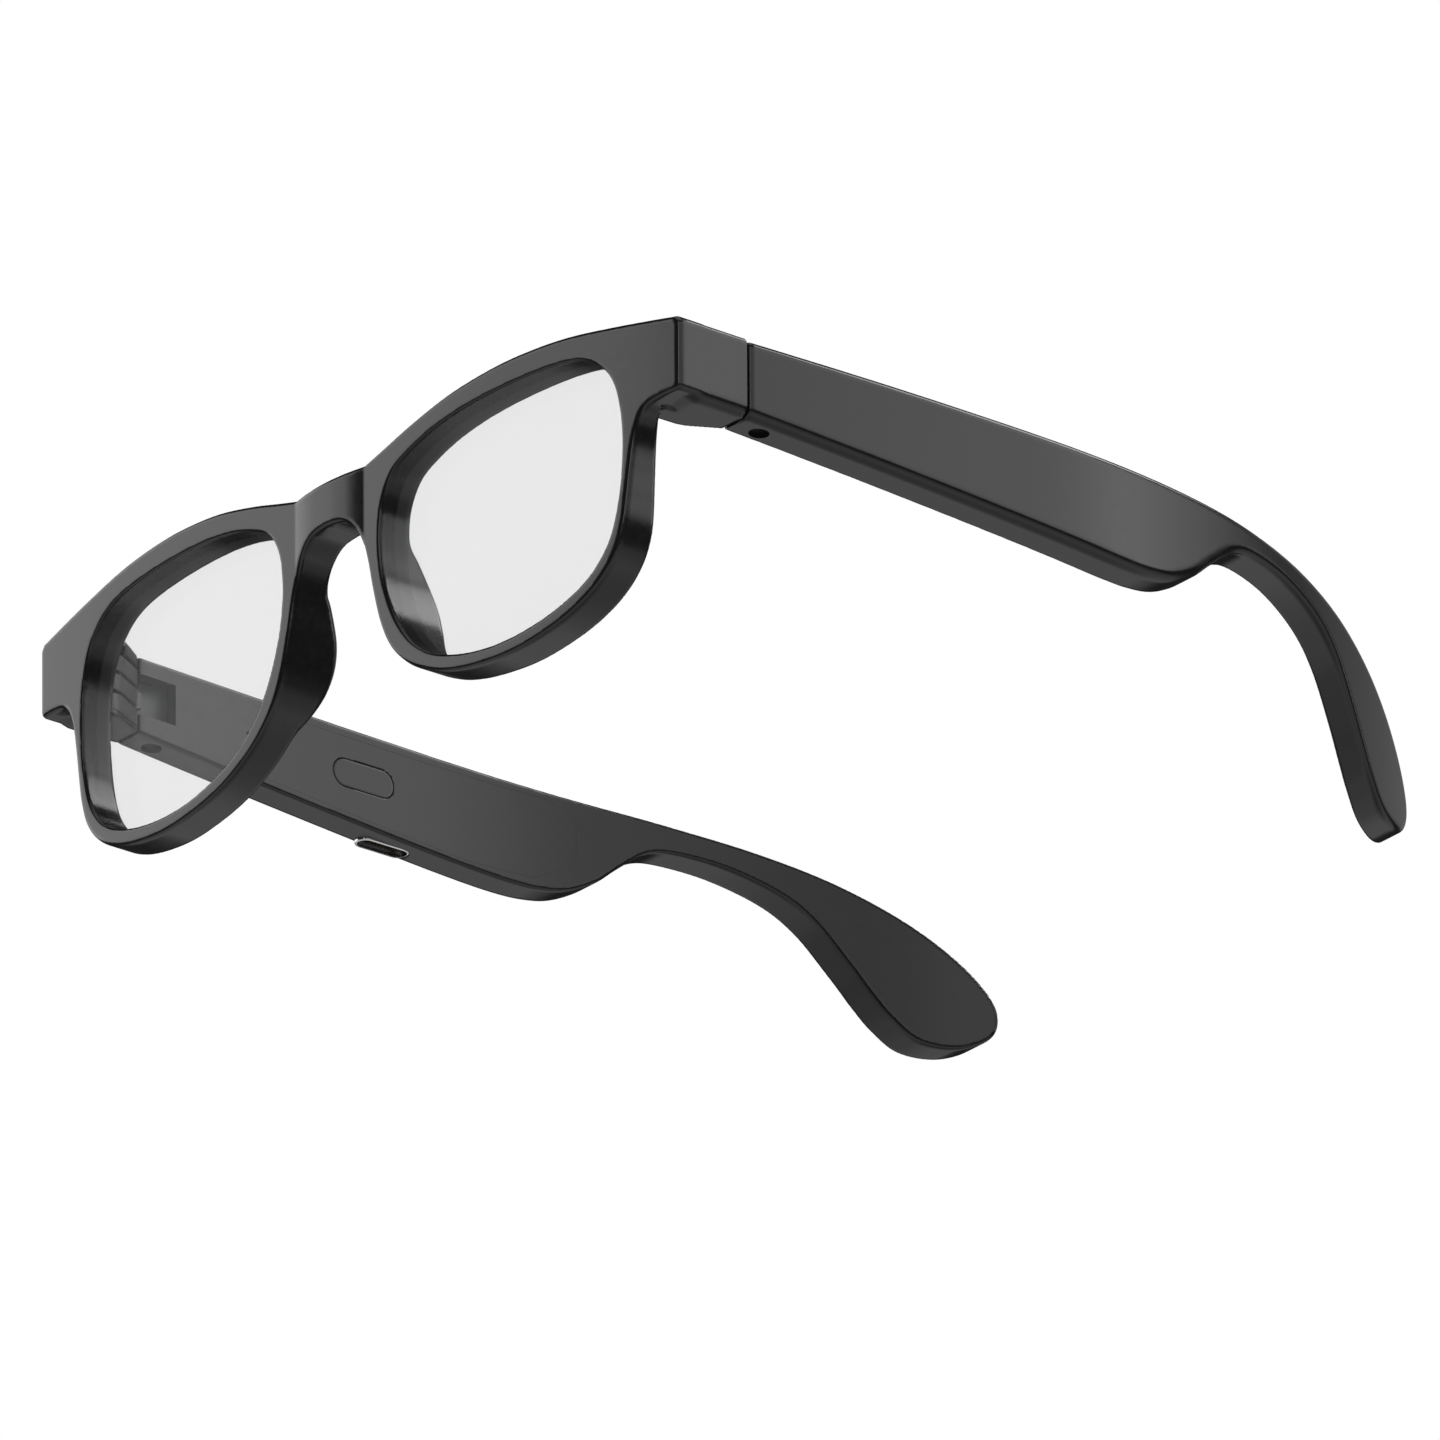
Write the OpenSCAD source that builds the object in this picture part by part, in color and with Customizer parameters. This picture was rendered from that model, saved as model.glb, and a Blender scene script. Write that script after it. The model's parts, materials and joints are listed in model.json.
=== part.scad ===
// Smart glasses: a front with two lenses, two folding temples and the electronics inside them.
// +X is the wearer's left, +Y runs backwards towards the ears and +Z is up. Millimetres.

/* [Front] */
// Width across the outer corners of the front
front_w = 145; // [141:1:149]
// Thickness of the rims from front to back
rim_depth = 5.5; // [5:0.1:6]
// How far the outer corners lie behind the middle of the face
face_wrap = 5.1; // [4.6:0.1:5.6]
// How far the bridge ridge stands proud of the face
bridge_ridge = 0.9; // [0.4:0.1:1.2]
// Thickness of each lens
lens_t = 1.8; // [1.6:0.1:2]
// How far each lens reaches into its groove
lens_bite = 0.6; // [0.4:0.05:0.7]

/* [Temples] */
// Thickness of a temple from its inner to its outer face
temple_t = 5.9; // [5.8:0.1:6.4]
// Length of a temple from the split line to the back of the ear hook
temple_len = 136; // [132:1:140]
// How far the ear hook bends inwards
hook_bend = 24; // [18:1:28]
// Gap between the end piece and the temple when open
split_gap = 0.35; // [0.25:0.05:0.5]
// Thickness of the shell walls
wall = 1.2; // [1:0.1:1.3]
// Thickness of the inner cover
cover_t = 1.1; // [0.9:0.1:1.2]

/* [Hinges] */
// Radius of the hinge knuckles
knuckle_r = 3.5; // [3.2:0.1:3.6]
// Diameter of the pivot screw shank
pivot_d = 1.6; // [1.4:0.1:1.8]
// Running clearance round the pivot, on the radius
pivot_fit = 0.04; // [0.02:0.01:0.08]
// Gap between neighbouring knuckles
knuckle_gap = 0.6; // [0.4:0.05:0.7]

/* [Controls and ports] */
// Length of the power button
button_l = 10.8; // [9:0.2:12]
// Height of the power button
button_h = 4.2; // [3.6:0.2:4.6]
// Travel of the power button
button_travel = 0.3; // [0.2:0.05:0.35]
// Width of the charging port's metal shell
usb_w = 8.94; // [8.9:0.02:9]
// Thickness of the charging port's metal shell
usb_h = 3.16; // [3.1:0.02:3.2]
// Diameter of the sound port under each temple
port_d = 3; // [2.6:0.1:3.2]
// Diameter of the microphone pinhole
pinhole_d = 0.8; // [0.6:0.1:1]

/* [Hidden] */

half_w = front_w / 2;
face_r = (pow(half_w, 2) + pow(face_wrap, 2)) / (2 * face_wrap);
face_y = -0.2;                      // front of the face at the middle plane
split_y = face_y + face_wrap + 12.5; // rear end of the end pieces
temple_y = split_y + split_gap;     // front end of the temples
back_y = temple_y + temple_len;     // back of the ear hooks
y_mid = (face_y - bridge_ridge + back_y) / 2; // moves the origin under the middle
top_z = 40.2;                       // top of the end pieces
low_z = 28.2;                       // underside of the end pieces
rim_low = 0.5;                      // lifts the rims' lowest points to height 0
in_x = half_w - 6.3;                // inner face of the end pieces
out_x = half_w - 0.35;              // outer face of the end pieces and temple roots

// Hinge axis and the three knuckles, counted from below: front, temple, front
axis_x = half_w - 7.3;
axis_y = split_y - 4.6;
stack_z0 = low_z + 1.05;            // underside of the stack of knuckles
ear_z = low_z + 10.3;               // underside of the ear above the hinge
ear_top = 41.2;                     // its top at the lug
stack_h = ear_z - knuckle_gap - stack_z0;
stack_z1 = stack_z0 + stack_h;
knuckle_h = (stack_h - 2 * knuckle_gap) / 3;
knuckle_pitch = knuckle_h + knuckle_gap;
pocket_x = half_w - 2.4;            // outer wall of the hinge pocket
hinge_in_x = half_w - 8.9;          // inner face of the knuckles and ears
plate_y = axis_y - knuckle_r - 0.25; // rear face of the front hinge's base plate
plate_t = 1.05;
head_h = 0.6;
pivot_head_d = 2.4;
screw_d = 1.4;
screw_head_d = 2.4;

// Temple plan: a slight outward bow, then an inward sweep of the hook
bow = 0.9;
bow_y = temple_y + 47.5;
sweep_y = back_y - bow_y;

// Places of the inner parts along the temple, measured from the split line
port_y = temple_y + 4.1;
port_x = half_w - 3.6;
usb_y = temple_y + 46.7;
button_y = temple_y + 40.6;
button_z = 32.5;
pinhole_y = temple_y + 19.8;
pinhole_z = 33.6;
bay_y0 = temple_y + 8;              // front end of the electronics bay
bay_y1 = temple_y + 77.5;           // rear end of the electronics bay
leaf_y1 = temple_y + 6.6;           // rear end of the hinge pocket in the temple
slack = 0.05;                       // gap between parts that only rest in each other
eps = 0.01;

black = [0.09, 0.09, 0.1];
dark = [0.16, 0.16, 0.17];
steel = [0.7, 0.71, 0.73];

// ---------- Curves ----------

// Point on a smooth curve through b and c, with a and d as its neighbours
function cr(a, b, c, d, t) = 0.5 * (2 * b + (c - a) * t + (2 * a - 5 * b + 4 * c - d) * t * t
    + (3 * b - a - 3 * c + d) * t * t * t);

// Smooth open curve through the points p, with n steps between neighbours
function open_curve(p, n) = [for (i = [0 : len(p) - 2], k = [0 : n - 1])
    cr(p[max(i - 1, 0)], p[i], p[i + 1], p[min(i + 2, len(p) - 1)], k / n), p[len(p) - 1]];

// Smooth closed curve through the points p
function closed_curve(p, n) = let (m = len(p)) [for (i = [0 : m - 1], k = [0 : n - 1])
    cr(p[(i + m - 1) % m], p[i], p[(i + 1) % m], p[(i + 2) % m], k / n)];

// The closed outline p grown by d along its own normals, for a clockwise list
function grown(p, d) = let (m = len(p)) [for (i = [0 : m - 1])
    let (t = p[(i + 1) % m] - p[(i + m - 1) % m]) p[i] + d * [-t[1], t[0]] / norm(t)];

// Polygon whose corners [x, y, r] are rounded with radius r
function rounded(p, n = 5) = let (m = len(p)) [for (i = [0 : m - 1])
    let (c = [p[i][0], p[i][1]], a = [p[(i + m - 1) % m][0], p[(i + m - 1) % m][1]] - c,
        b = [p[(i + 1) % m][0], p[(i + 1) % m][1]] - c, ua = a / norm(a), ub = b / norm(b),
        half = acos(ua * ub) / 2, r = p[i][2], mid = (ua + ub) / norm(ua + ub),
        o = c + mid * r / sin(half), s = o - c)
    each r < eps ? [c] : [for (k = [0 : n])
        let (q = c + ua * r / tan(half) - o, e = c + ub * r / tan(half) - o,
            w = (q * (n - k) + e * k) / n) o + w / norm(w) * r]];

// ---------- Outlines of the front, seen from the front, for the half with x > 0 ----------

brow_pts = [[7.6, 38.6], [12, 39.8], [18, 41.5], [26, 43.3], [34, 44.2], [41, 44.4],
    [50, 43.9], [60, 42.4], [half_w - 0.5, 40.3]];
lug_pts = [[half_w, 39.7], [half_w, 29.6]];
rim_pts = [[half_w - 0.6, 29], [half_w - 3.4, 28.9], [66.2, 28.3], [64.7, 26.7], [63.7, 24],
    [63, 20.3], [62.4, 16.4], [61.6, 12], [60.1, 8.1], [57.2, 4.8], [53, 2.3],
    [47.2, 0.5], [39.5, -0.5], [31.8, -0.1], [25.6, 1.1], [20.6, 3.1], [16.6, 5.6], [13.2, 9.1],
    [11, 13.4], [9.4, 18.8], [8.2, 24], [7, 27.6], [5.5, 29.9], [3.2, 31.4], [0, 31.8]];
half_outline = concat([[0, 38.6]], open_curve(brow_pts, 3), open_curve(lug_pts, 2),
    open_curve(rim_pts, 3));
aperture = closed_curve([[11.05, 27], [11.7, 31.6], [13.9, 35.4], [17.8, 37.5], [23.2, 39.1],
    [30, 40.1], [38.5, 40.5], [47, 40.3], [53, 39.4], [57, 37.2], [59.6, 33.8], [61, 28.5],
    [61.25, 22.5], [60.5, 15.9], [58.6, 10.2], [54.8, 6.1], [49, 3.5], [42, 2.1],
    [35, 1.9], [28.4, 2.9], [22.6, 4.9], [18, 8.2], [14.6, 12.8], [12.3, 18.2], [11.3, 22.6]], 3);

// ---------- Side view of a temple, y and z ----------

side_pts = [[0, 40], [30, 39.7], [60, 39.1], [83, 38.2], [95, 37.1], [105, 35.4],
    [114.3, 32.6], [122.3, 28.6], [128.6, 23.9], [133.4, 18.6], [136, 13.7], [135.2, 9.7],
    [131.2, 7.75], [126.4, 8.5], [123, 11.6], [120.5, 15], [117.6, 19.4], [113, 25.6],
    [108, 29.5], [100.5, 32.3], [93, 33.2], [88.6, 32.4], [84.6, 29.6], [80.8, 26.5],
    [76.5, 24.3], [72.5, 23.45], [67, 23.3], [56, 24], [28, 26.1], [0, 28.2]];
side_len = 136;                     // length that the side view's points are drawn for
side_outline = [for (q = open_curve(side_pts, 3)) [temple_y + q[0] * temple_len / side_len, q[1]]];

// Outer face of a temple in plan
function temple_x(y) = y < bow_y
    ? out_x + bow - bow * pow((bow_y - y) / (bow_y - temple_y), 2)
    : out_x + bow - hook_bend * pow((y - bow_y) / sweep_y, 2.5);
plan_y = [for (k = [0 : 10]) temple_y + (bow_y - temple_y) * k / 10,
    for (k = [1 : 20]) bow_y + sweep_y * k / 20];

// Band of the temple's plan between two depths below the outer face
module plan_band(d0, d1, z0 = 0, z1 = 45) {
    translate([0, 0, z0])
        linear_extrude(z1 - z0)
            polygon(concat([for (y = plan_y) [temple_x(y) - d0, y]],
                [for (k = [len(plan_y) - 1 : -1 : 0]) [temple_x(plan_y[k]) - d1, plan_y[k]]]));
}

// Prism with the outline p in y and z, between x0 and x1
module yz_prism(p, x0, x1) {
    translate([x0, 0, 0])
        rotate([90, 0, 90])
            linear_extrude(x1 - x0)
                polygon(p);
}

// Prism with the outline p in x and z, between y0 and y1
module xz_prism(p, y0, y1) {
    translate([0, y1, 0])
        rotate([90, 0, 0])
            linear_extrude(y1 - y0)
                polygon(p);
}

// Box between two corners
module block(a, b) {
    translate(a)
        cube(b - a);
}

// Upright cylinder on the hinge axis or any other x and y
module upright(x, y, z0, z1, d) {
    translate([x, y, z0])
        cylinder(h = z1 - z0, d = d, $fn = 48);
}

// Cylinder along x
module along_x(x0, x1, y, z, d) {
    translate([x0, y, z])
        rotate([0, 90, 0])
            cylinder(h = x1 - x0, d = d, $fn = 48);
}

// Cylinder along y
module along_y(x, z, y0, y1, d) {
    translate([x, y1, z])
        rotate([90, 0, 0])
            cylinder(h = y1 - y0, d = d, $fn = 48);
}

// Moves a piece into the part's own frame
module place() {
    translate([0, -y_mid, rim_low])
        children();
}

// The same piece on the wearer's right
module on_right() {
    mirror([1, 0, 0])
        children();
}

// Both sides
module both() {
    children();
    mirror([1, 0, 0])
        children();
}

// Curved sheet that follows the face, from depth a to depth b
module face_sheet(a, b) {
    translate([0, face_y + face_r, -1])
        difference() {
            cylinder(h = 47, r = face_r - a, $fn = 720);
            translate([0, 0, -1])
                cylinder(h = 49, r = face_r - b, $fn = 720);
        }
}

// ---------- Front ----------

// Ridge of the bridge, a shallow cylinder that stands proud of the face
module bridge_bulge() {
    half = brow_pts[0][0];
    r = (half * half + bridge_ridge * bridge_ridge) / (2 * bridge_ridge);
    intersection() {
        translate([0, face_y - bridge_ridge + r, 30])
            cylinder(h = 10, r = r, $fn = 180);
        block([-half, face_y - bridge_ridge - 1, 30], [half, face_y + 2, 40]);
    }
}

// Flat outline of the front
module front_profile(y0, y1) {
    n = len(half_outline);
    xz_prism(concat(half_outline, [for (k = [n - 2 : -1 : 1]) [-half_outline[k][0], half_outline[k][1]]]),
        y0, y1);
}

// Plan shared by the knuckles and the ears above and below them, from y0 back and out to x1
function hinge_plan(x1, y0) = rounded([[hinge_in_x, y0, 0], [x1, y0, 0], [x1, split_y - slack, 0],
    [in_x + 0.1, split_y - slack, 0], [hinge_in_x, axis_y - 0.6, 5]]);

// Solid behind the lug, with a soft lower outer edge and an ear over and under the hinge
module end_piece() {
    intersection() {
        xz_prism(rounded([[in_x, low_z, 0.5], [in_x, top_z, 0.3], [half_w, top_z, 0.8],
            [half_w, low_z, 1.8]]), face_y + face_wrap + 1, split_y);
        linear_extrude(45)
            polygon([[in_x - 1, 0], [half_w, 0], [half_w, face_y + face_wrap + rim_depth],
                [out_x, split_y], [in_x - 1, split_y]]);
    }
    intersection() {
        for (z = [[low_z, stack_z0 - slack], [ear_z, ear_top]])
            translate([0, 0, z[0]])
                linear_extrude(z[1] - z[0])
                    polygon(hinge_plan(in_x + 1, face_y + face_wrap + 1.5));
        yz_prism([[0, 0], [0, ear_top], [axis_y - 1, ear_top], [split_y, top_z - 0.1], [split_y, 0]],
            hinge_in_x - 1, half_w);
    }
}

// Hump of the nose pads in side view, y and z
pad_pts = [[4, 28.6], [5.9, 26], [7.3, 24], [8.9, 20], [9.35, 16.5], [8.8, 13], [7.6, 10],
    [6.2, 7.6], [4.2, 5]];

// Pad moulded on to the nose side of a rim, as a rise of the rim's back
module nose_pad() {
    intersection() {
        front_profile(face_y + rim_depth - 1.5, 12);
        yz_prism(concat([[0, 28.6]], open_curve(pad_pts, 3), [[0, 5]]), 0, 25);
    }
}

// Pocket for the hinge behind the lug, open to the inside and to the rear
module hinge_pocket() {
    block([hinge_in_x - slack, plate_y - plate_t - slack, stack_z0 - slack],
        [pocket_x, split_y + 1, ear_z]);
    upright(axis_x, axis_y, top_z - 3, top_z + 1, pivot_head_d + 0.2);
}

// Bevel on the back of a rim's outer edge, where the other temple's hook lies when folded
module hook_bevel() {
    translate([0, 0, 4])
        linear_extrude(25)
            polygon([[half_w - 11.3, 9.1], [half_w - 6.6, 6.7], [half_w - 5.5, 6.7],
                [half_w - 5.5, 12], [half_w - 11.3, 12]]);
}

// Path of the flex cable in the brow, x and z, and the place where its tail turns backwards
tail_p = [half_w - 4.3, 38];
tail_y = face_y + face_r - sqrt(pow(face_r - 1.6, 2) - pow(tail_p[0], 2));
flex_pts = [[0, 35.9], [8, 37.0], [14.5, 38.9], [20, 40.7], [27, 41.9], [40, 42.4], [51, 41.8],
    [58.5, 40.6], [64, 39.2], tail_p];

// Ribbon of the flex cable, grown by g on each side
module flex_ribbon(g) {
    c = open_curve(flex_pts, 2);
    edge = [for (k = [0 : len(c) - 1]) let (t = c[min(k + 1, len(c) - 1)] - c[max(k - 1, 0)])
        [-t[1], t[0]] / norm(t)];
    w = 0.8 + g;
    up = [for (k = [0 : len(c) - 1]) c[k] + w * edge[k]];
    down = [for (k = [len(c) - 1 : -1 : 0]) c[k] - w * edge[k]];
    both()
        intersection() {
            xz_prism(concat(up, down), face_y - 2, face_y + 9);
            face_sheet(1.5 - g, 1.75 + g);
        }
}

// Tail of the flex cable through an end piece
module flex_tail(g, y1) {
    x = half_w - 1.8;
    z = tail_p[1];
    both() {
        block([x - g, tail_y - g, z - 0.8 - g], [x + 0.25 + g, y1, z + 0.8 + g]);
        block([tail_p[0] - 0.6, tail_y - g, z - 0.8 - g],
            [x + 0.25 + g, tail_y + 0.25 + g, z + 0.8 + g]);
    }
}

module front_frame() {
    color(black) place() difference() {
        union() {
            intersection() {
                front_profile(face_y - 2, face_y + 14);
                union() {
                    face_sheet(0, rim_depth);
                    bridge_bulge();
                }
            }
            both()
                end_piece();
            both()
                nose_pad();
        }
        both()
            xz_prism(aperture, face_y - 3, 14);
        both()
            intersection() {
                xz_prism(grown(aperture, lens_bite + slack), face_y - 2, 14);
                face_sheet(2.8 - slack, 2.8 + lens_t + slack);
            }
        both()
            hinge_pocket();
        both()
            for (x = screw_x)
                along_y(x, screw_z, plate_y - plate_t - 2.9, plate_y - plate_t + 1, screw_d + 0.02);
        both()
            hook_bevel();
        flex_ribbon(slack);
        flex_tail(slack, split_y + 1);
    }
}

module lens_solid() {
    intersection() {
        xz_prism(grown(aperture, lens_bite), face_y - 2, 14);
        face_sheet(2.8, 2.8 + lens_t);
    }
}

module lens_left() {
    color([0.8, 0.85, 0.88, 0.5]) place()
        lens_solid();
}

module lens_right() {
    color([0.8, 0.85, 0.88, 0.5]) place() on_right()
        lens_solid();
}

// ---------- Hinges ----------

function knuckle_low(k) = stack_z0 + k * knuckle_pitch;
screw_x = [axis_x + 0.1, axis_x + 3.1];
screw_z = knuckle_low(1) + knuckle_h / 2;
leaf_x = half_w - 2.75;             // outer face of the temple hinge leaf
leaf_screw_y = bay_y0 + 2.9;        // its screws sit under the inner cover
leaf_z = [low_z + 3.1, low_z + 9.1]; // lower and upper edge of the leaf
leaf_screw_z = [leaf_z[0] + 1.5, leaf_z[1] - 1.5];

// Knuckle k in full, out to x1
module knuckle(k, x1) {
    translate([0, 0, knuckle_low(k)])
        linear_extrude(knuckle_h)
            polygon(hinge_plan(x1, plate_y - 0.1));
}

module front_hinge() {
    difference() {
        union() {
            block([hinge_in_x, plate_y - plate_t, stack_z0], [pocket_x - slack, plate_y, stack_z1]);
            for (k = [0, 2])
                knuckle(k, pocket_x - slack);
        }
        upright(axis_x, axis_y, stack_z0 - 1, stack_z1 + 2, pivot_d + 0.02);
        upright(axis_x, axis_y, stack_z1 - head_h, stack_z1 + 2, pivot_head_d + 0.04);
        for (x = screw_x) {
            along_y(x, screw_z, plate_y - 2, plate_y + 1, screw_d + 0.02);
            along_y(x, screw_z, plate_y - head_h, plate_y + 1, screw_head_d + 0.02);
        }
    }
}

module front_hinge_left() {
    color(dark) place()
        front_hinge();
}

module front_hinge_right() {
    color(dark) place() on_right()
        front_hinge();
}

module front_hinge_screws() {
    color(steel) place() both()
        for (x = screw_x)
            difference() {
                union() {
                    along_y(x, screw_z, plate_y - plate_t - 2.8, plate_y, screw_d);
                    along_y(x, screw_z, plate_y - head_h, plate_y, screw_head_d);
                }
                block([x - 0.9, plate_y - 0.3, screw_z - 0.15], [x + 0.9, plate_y + 1, screw_z + 0.15]);
            }
}

module pivot_screw() {
    difference() {
        union() {
            upright(axis_x, axis_y, stack_z0 + 0.1, stack_z1, pivot_d);
            upright(axis_x, axis_y, stack_z1 - head_h, stack_z1, pivot_head_d);
        }
        block([axis_x - 1.1, axis_y - 0.2, stack_z1 - 0.3], [axis_x + 1.1, axis_y + 0.2, stack_z1 + 1]);
    }
}

module pivot_screw_left() {
    color(steel) place()
        pivot_screw();
}

module pivot_screw_right() {
    color(steel) place() on_right()
        pivot_screw();
}

module temple_hinge() {
    difference() {
        union() {
            block([leaf_x - 1, temple_y, leaf_z[0]], [leaf_x, bay_y0 + 4.6, leaf_z[1]]);
            block([leaf_x - 2.8, axis_y, knuckle_low(1)],
                [leaf_x, temple_y + 0.8, knuckle_low(1) + knuckle_h]);
            intersection() {
                knuckle(1, leaf_x);
                union() {
                    upright(axis_x, axis_y, stack_z0, stack_z1, 2 * knuckle_r);
                    block([hinge_in_x, axis_y, stack_z0], [leaf_x, split_y, stack_z1]);
                }
            }
        }
        upright(axis_x, axis_y, stack_z0 - 1, stack_z1 + 2, pivot_d + 2 * pivot_fit);
        for (z = leaf_screw_z) {
            along_x(leaf_x - 3, leaf_x + 1, leaf_screw_y, z, screw_d + 0.02);
            along_x(leaf_x - 3, leaf_x - 1 + head_h, leaf_screw_y, z, screw_head_d + 0.02);
        }
    }
}

module temple_screws() {
    for (z = leaf_screw_z)
        difference() {
            union() {
                along_x(leaf_x - 1, leaf_x + 1.3, leaf_screw_y, z, screw_d);
                along_x(leaf_x - 1, leaf_x - 1 + head_h, leaf_screw_y, z, screw_head_d);
            }
            block([leaf_x - 2, leaf_screw_y - 0.9, z - 0.15], [leaf_x - 0.7, leaf_screw_y + 0.9, z + 0.15]);
        }
}

module left_temple_hinge() {
    color(dark) place()
        temple_hinge();
}

module right_temple_hinge() {
    color(dark) place() on_right()
        temple_hinge();
}

module left_hinge_screws() {
    color(steel) place()
        temple_screws();
}

module right_hinge_screws() {
    color(steel) place() on_right()
        temple_screws();
}

// ---------- Temples ----------

// Outline of the inner cover in side view, grown by g
function cover_outline(g) = rounded([[bay_y0 - g, 28.9 - g, 1.2], [bay_y0 - g, 38.5 + g, 1.2],
    [bay_y1 - 5, 37.5 + g, 3], [bay_y1 + g, 35.5, 2.5], [bay_y1 + g, 28.5, 3],
    [bay_y1 - 7, 24.9 - g, 4], [bay_y1 - 18, 24.7 - g, 4]]);

// Outline of the bay behind the cover, which leaves a ledge for the cover to sit on
function bay_outline() = rounded([[bay_y0 + 5, 29.4, 0.8], [bay_y0 + 5, 37.5, 0.8],
    [bay_y1 - 5.4, 36.6, 2.4], [bay_y1 - 0.9, 34.9, 1.9], [bay_y1 - 0.9, 29, 2.4],
    [bay_y1 - 7.4, 25.8, 3.2], [bay_y1 - 18, 25.6, 3.2]]);

// Centre line of the ear hook in side view
hook_pts = [[75, 33.6], [83, 34.8], [93, 35.2], [103, 33.9], [111.5, 30.5], [118.3, 25.3],
    [123.6, 19.4], [128, 13.6]];

// Core strip in the ear hook, grown by g
module core_strip(g) {
    c = open_curve([for (q = hook_pts) [temple_y + q[0] * temple_len / side_len, q[1]]], 3);
    n = len(c);
    edge = [for (k = [0 : n - 1]) let (t = c[min(k + 1, n - 1)] - c[max(k - 1, 0)])
        [-t[1], t[0]] / norm(t)];
    intersection() {
        yz_prism(concat([for (k = [0 : n - 1]) c[k] + (0.7 + g) * edge[k]],
            [for (k = [n - 1 : -1 : 0]) c[k] - (0.7 + g) * edge[k]]), half_w - 40, half_w + 5);
        plan_band(temple_t / 2 - 0.6 - g, temple_t / 2 + 0.6 + g);
    }
}

module temple_shell() {
    difference() {
        intersection() {
            yz_prism(side_outline, half_w - 40, half_w + 5);
            plan_band(0, temple_t);
        }
        // seat of the inner cover
        intersection() {
            yz_prism(cover_outline(slack), half_w - 40, half_w + 5);
            plan_band(temple_t - cover_t - slack, temple_t + 1);
        }
        // electronics bay
        intersection() {
            yz_prism(bay_outline(), half_w - 40, half_w + 5);
            plan_band(wall, temple_t - cover_t + eps);
        }
        // hinge pocket, the slot for the leaf and its seat and screw holes under the cover
        block([in_x - 2, temple_y - 1, leaf_z[0] - 0.1], [leaf_x + slack, leaf_y1, leaf_z[1] + 0.1]);
        block([leaf_x - 1 - slack, leaf_y1 - 1, leaf_z[0] - slack],
            [leaf_x + slack, bay_y0 + 2, leaf_z[1] + slack]);
        block([temple_x(bay_y0) - temple_t + cover_t, bay_y0 + 0.9, leaf_z[0] - slack],
            [leaf_x + slack, bay_y0 + 6, leaf_z[1] + slack]);
        for (z = leaf_screw_z)
            along_x(leaf_x - 1, leaf_x + 1.4, leaf_screw_y, z, screw_d + 0.02);
        // sound port and its duct to the speaker
        upright(port_x, port_y, low_z, low_z + 2.2, port_d - 0.8);
        upright(port_x, port_y, low_z - 2, low_z + 0.7, port_d);
        block([port_x - 1, port_y, low_z + 0.9], [port_x + 1, bay_y0 + 7, low_z + 2.2]);
        core_strip(slack);
    }
}

module left_temple_shell() {
    color(black) place()
        temple_shell();
}

// The right shell has the charging port's slot as well
module right_temple_shell() {
    color(black) place() on_right()
        difference() {
            temple_shell();
            stadium_z(usb_x, usb_y, 20, usb_top + slack, usb_w + 2 * slack, usb_h + 2 * slack);
        }
}

module inner_cover() {
    intersection() {
        yz_prism(cover_outline(0), half_w - 40, half_w + 5);
        plan_band(temple_t - cover_t, temple_t);
    }
}

module left_inner_cover() {
    color(black) place()
        inner_cover();
}

module right_inner_cover() {
    color(black) place() on_right()
        difference() {
            inner_cover();
            capsule_x(half_w - 9, half_w, button_l + 0.16, button_h + 0.16);
            along_x(half_w - 9, half_w, pinhole_y, pinhole_z, pinhole_d);
        }
}

module left_ear_core() {
    color(steel) place()
        core_strip(0);
}

module right_ear_core() {
    color(steel) place() on_right()
        core_strip(0);
}

// ---------- Electronics ----------

usb_x = temple_x(usb_y) - usb_h / 2 - 0.7;
board_d0 = wall + 0.25;             // board and film are placed by their depth below the outer face
board_d1 = board_d0 + 0.6;

// Stadium along z: long side along y
module stadium_z(x, y, z0, z1, l, w) {
    off = (l - w) / 2;
    upright(x, y - off, z0, z1, w);
    upright(x, y + off, z0, z1, w);
    block([x - w / 2, y - off, z0], [x + w / 2, y + off, z1]);
}

// Capsule along x at the power button's place
module capsule_x(x0, x1, l, h) {
    off = (l - h) / 2;
    along_x(x0, x1, button_y - off, button_z, h);
    along_x(x0, x1, button_y + off, button_z, h);
    block([x0, button_y - off, button_z - h / 2], [x1, button_y + off, button_z + h / 2]);
}

// Box speaker with a raised diaphragm rim and a snout to the sound duct
module speaker() {
    x1 = temple_x(bay_y0 + 5) - wall - 0.1;
    y0 = bay_y0 + 5.3;
    difference() {
        block([x1 - 2.2, y0, 30.2], [x1, y0 + 12, 37]);
        translate([x1 - 2.3, y0 + 6, 33.7])
            rotate([0, 90, 0])
                cylinder(h = 0.5, d = 6, $fn = 48);
    }
    translate([x1 - 2.2, y0 + 6, 33.7])
        rotate([0, 90, 0])
            cylinder(h = 0.4, d = 3.4, $fn = 48);
}

module port_mesh() {
    upright(port_x, port_y, low_z + 0.25, low_z + 0.65, port_d - 2 * slack);
}

module left_speaker() {
    color(dark) place()
        speaker();
}

module right_speaker() {
    color(dark) place() on_right()
        speaker();
}

module left_port_mesh() {
    color(dark) place()
        port_mesh();
}

module right_port_mesh() {
    color(dark) place() on_right()
        port_mesh();
}

// Pouch cell with rounded long edges between y0 and y1
module pouch(y0, y1, z0, z1) {
    x1 = min(temple_x(y0), temple_x(y1)) - wall - 0.35;
    w = temple_t - wall - cover_t - 1.55;
    translate([x1 - w, y0, 0])
        rotate([90, 0, 0])
            translate([0, 0, y0 - y1])
                linear_extrude(y1 - y0)
                    polygon(rounded([[0, z0, 0.9], [0, z1, 0.9], [w, z1, 0.9], [w, z0, 0.9]]));
    block([x1 - w / 2 - 0.2, y0 - 1, z0 + 1.5], [x1 - w / 2 + 0.2, y0 + eps, z0 + 3.5]);
}

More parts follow.
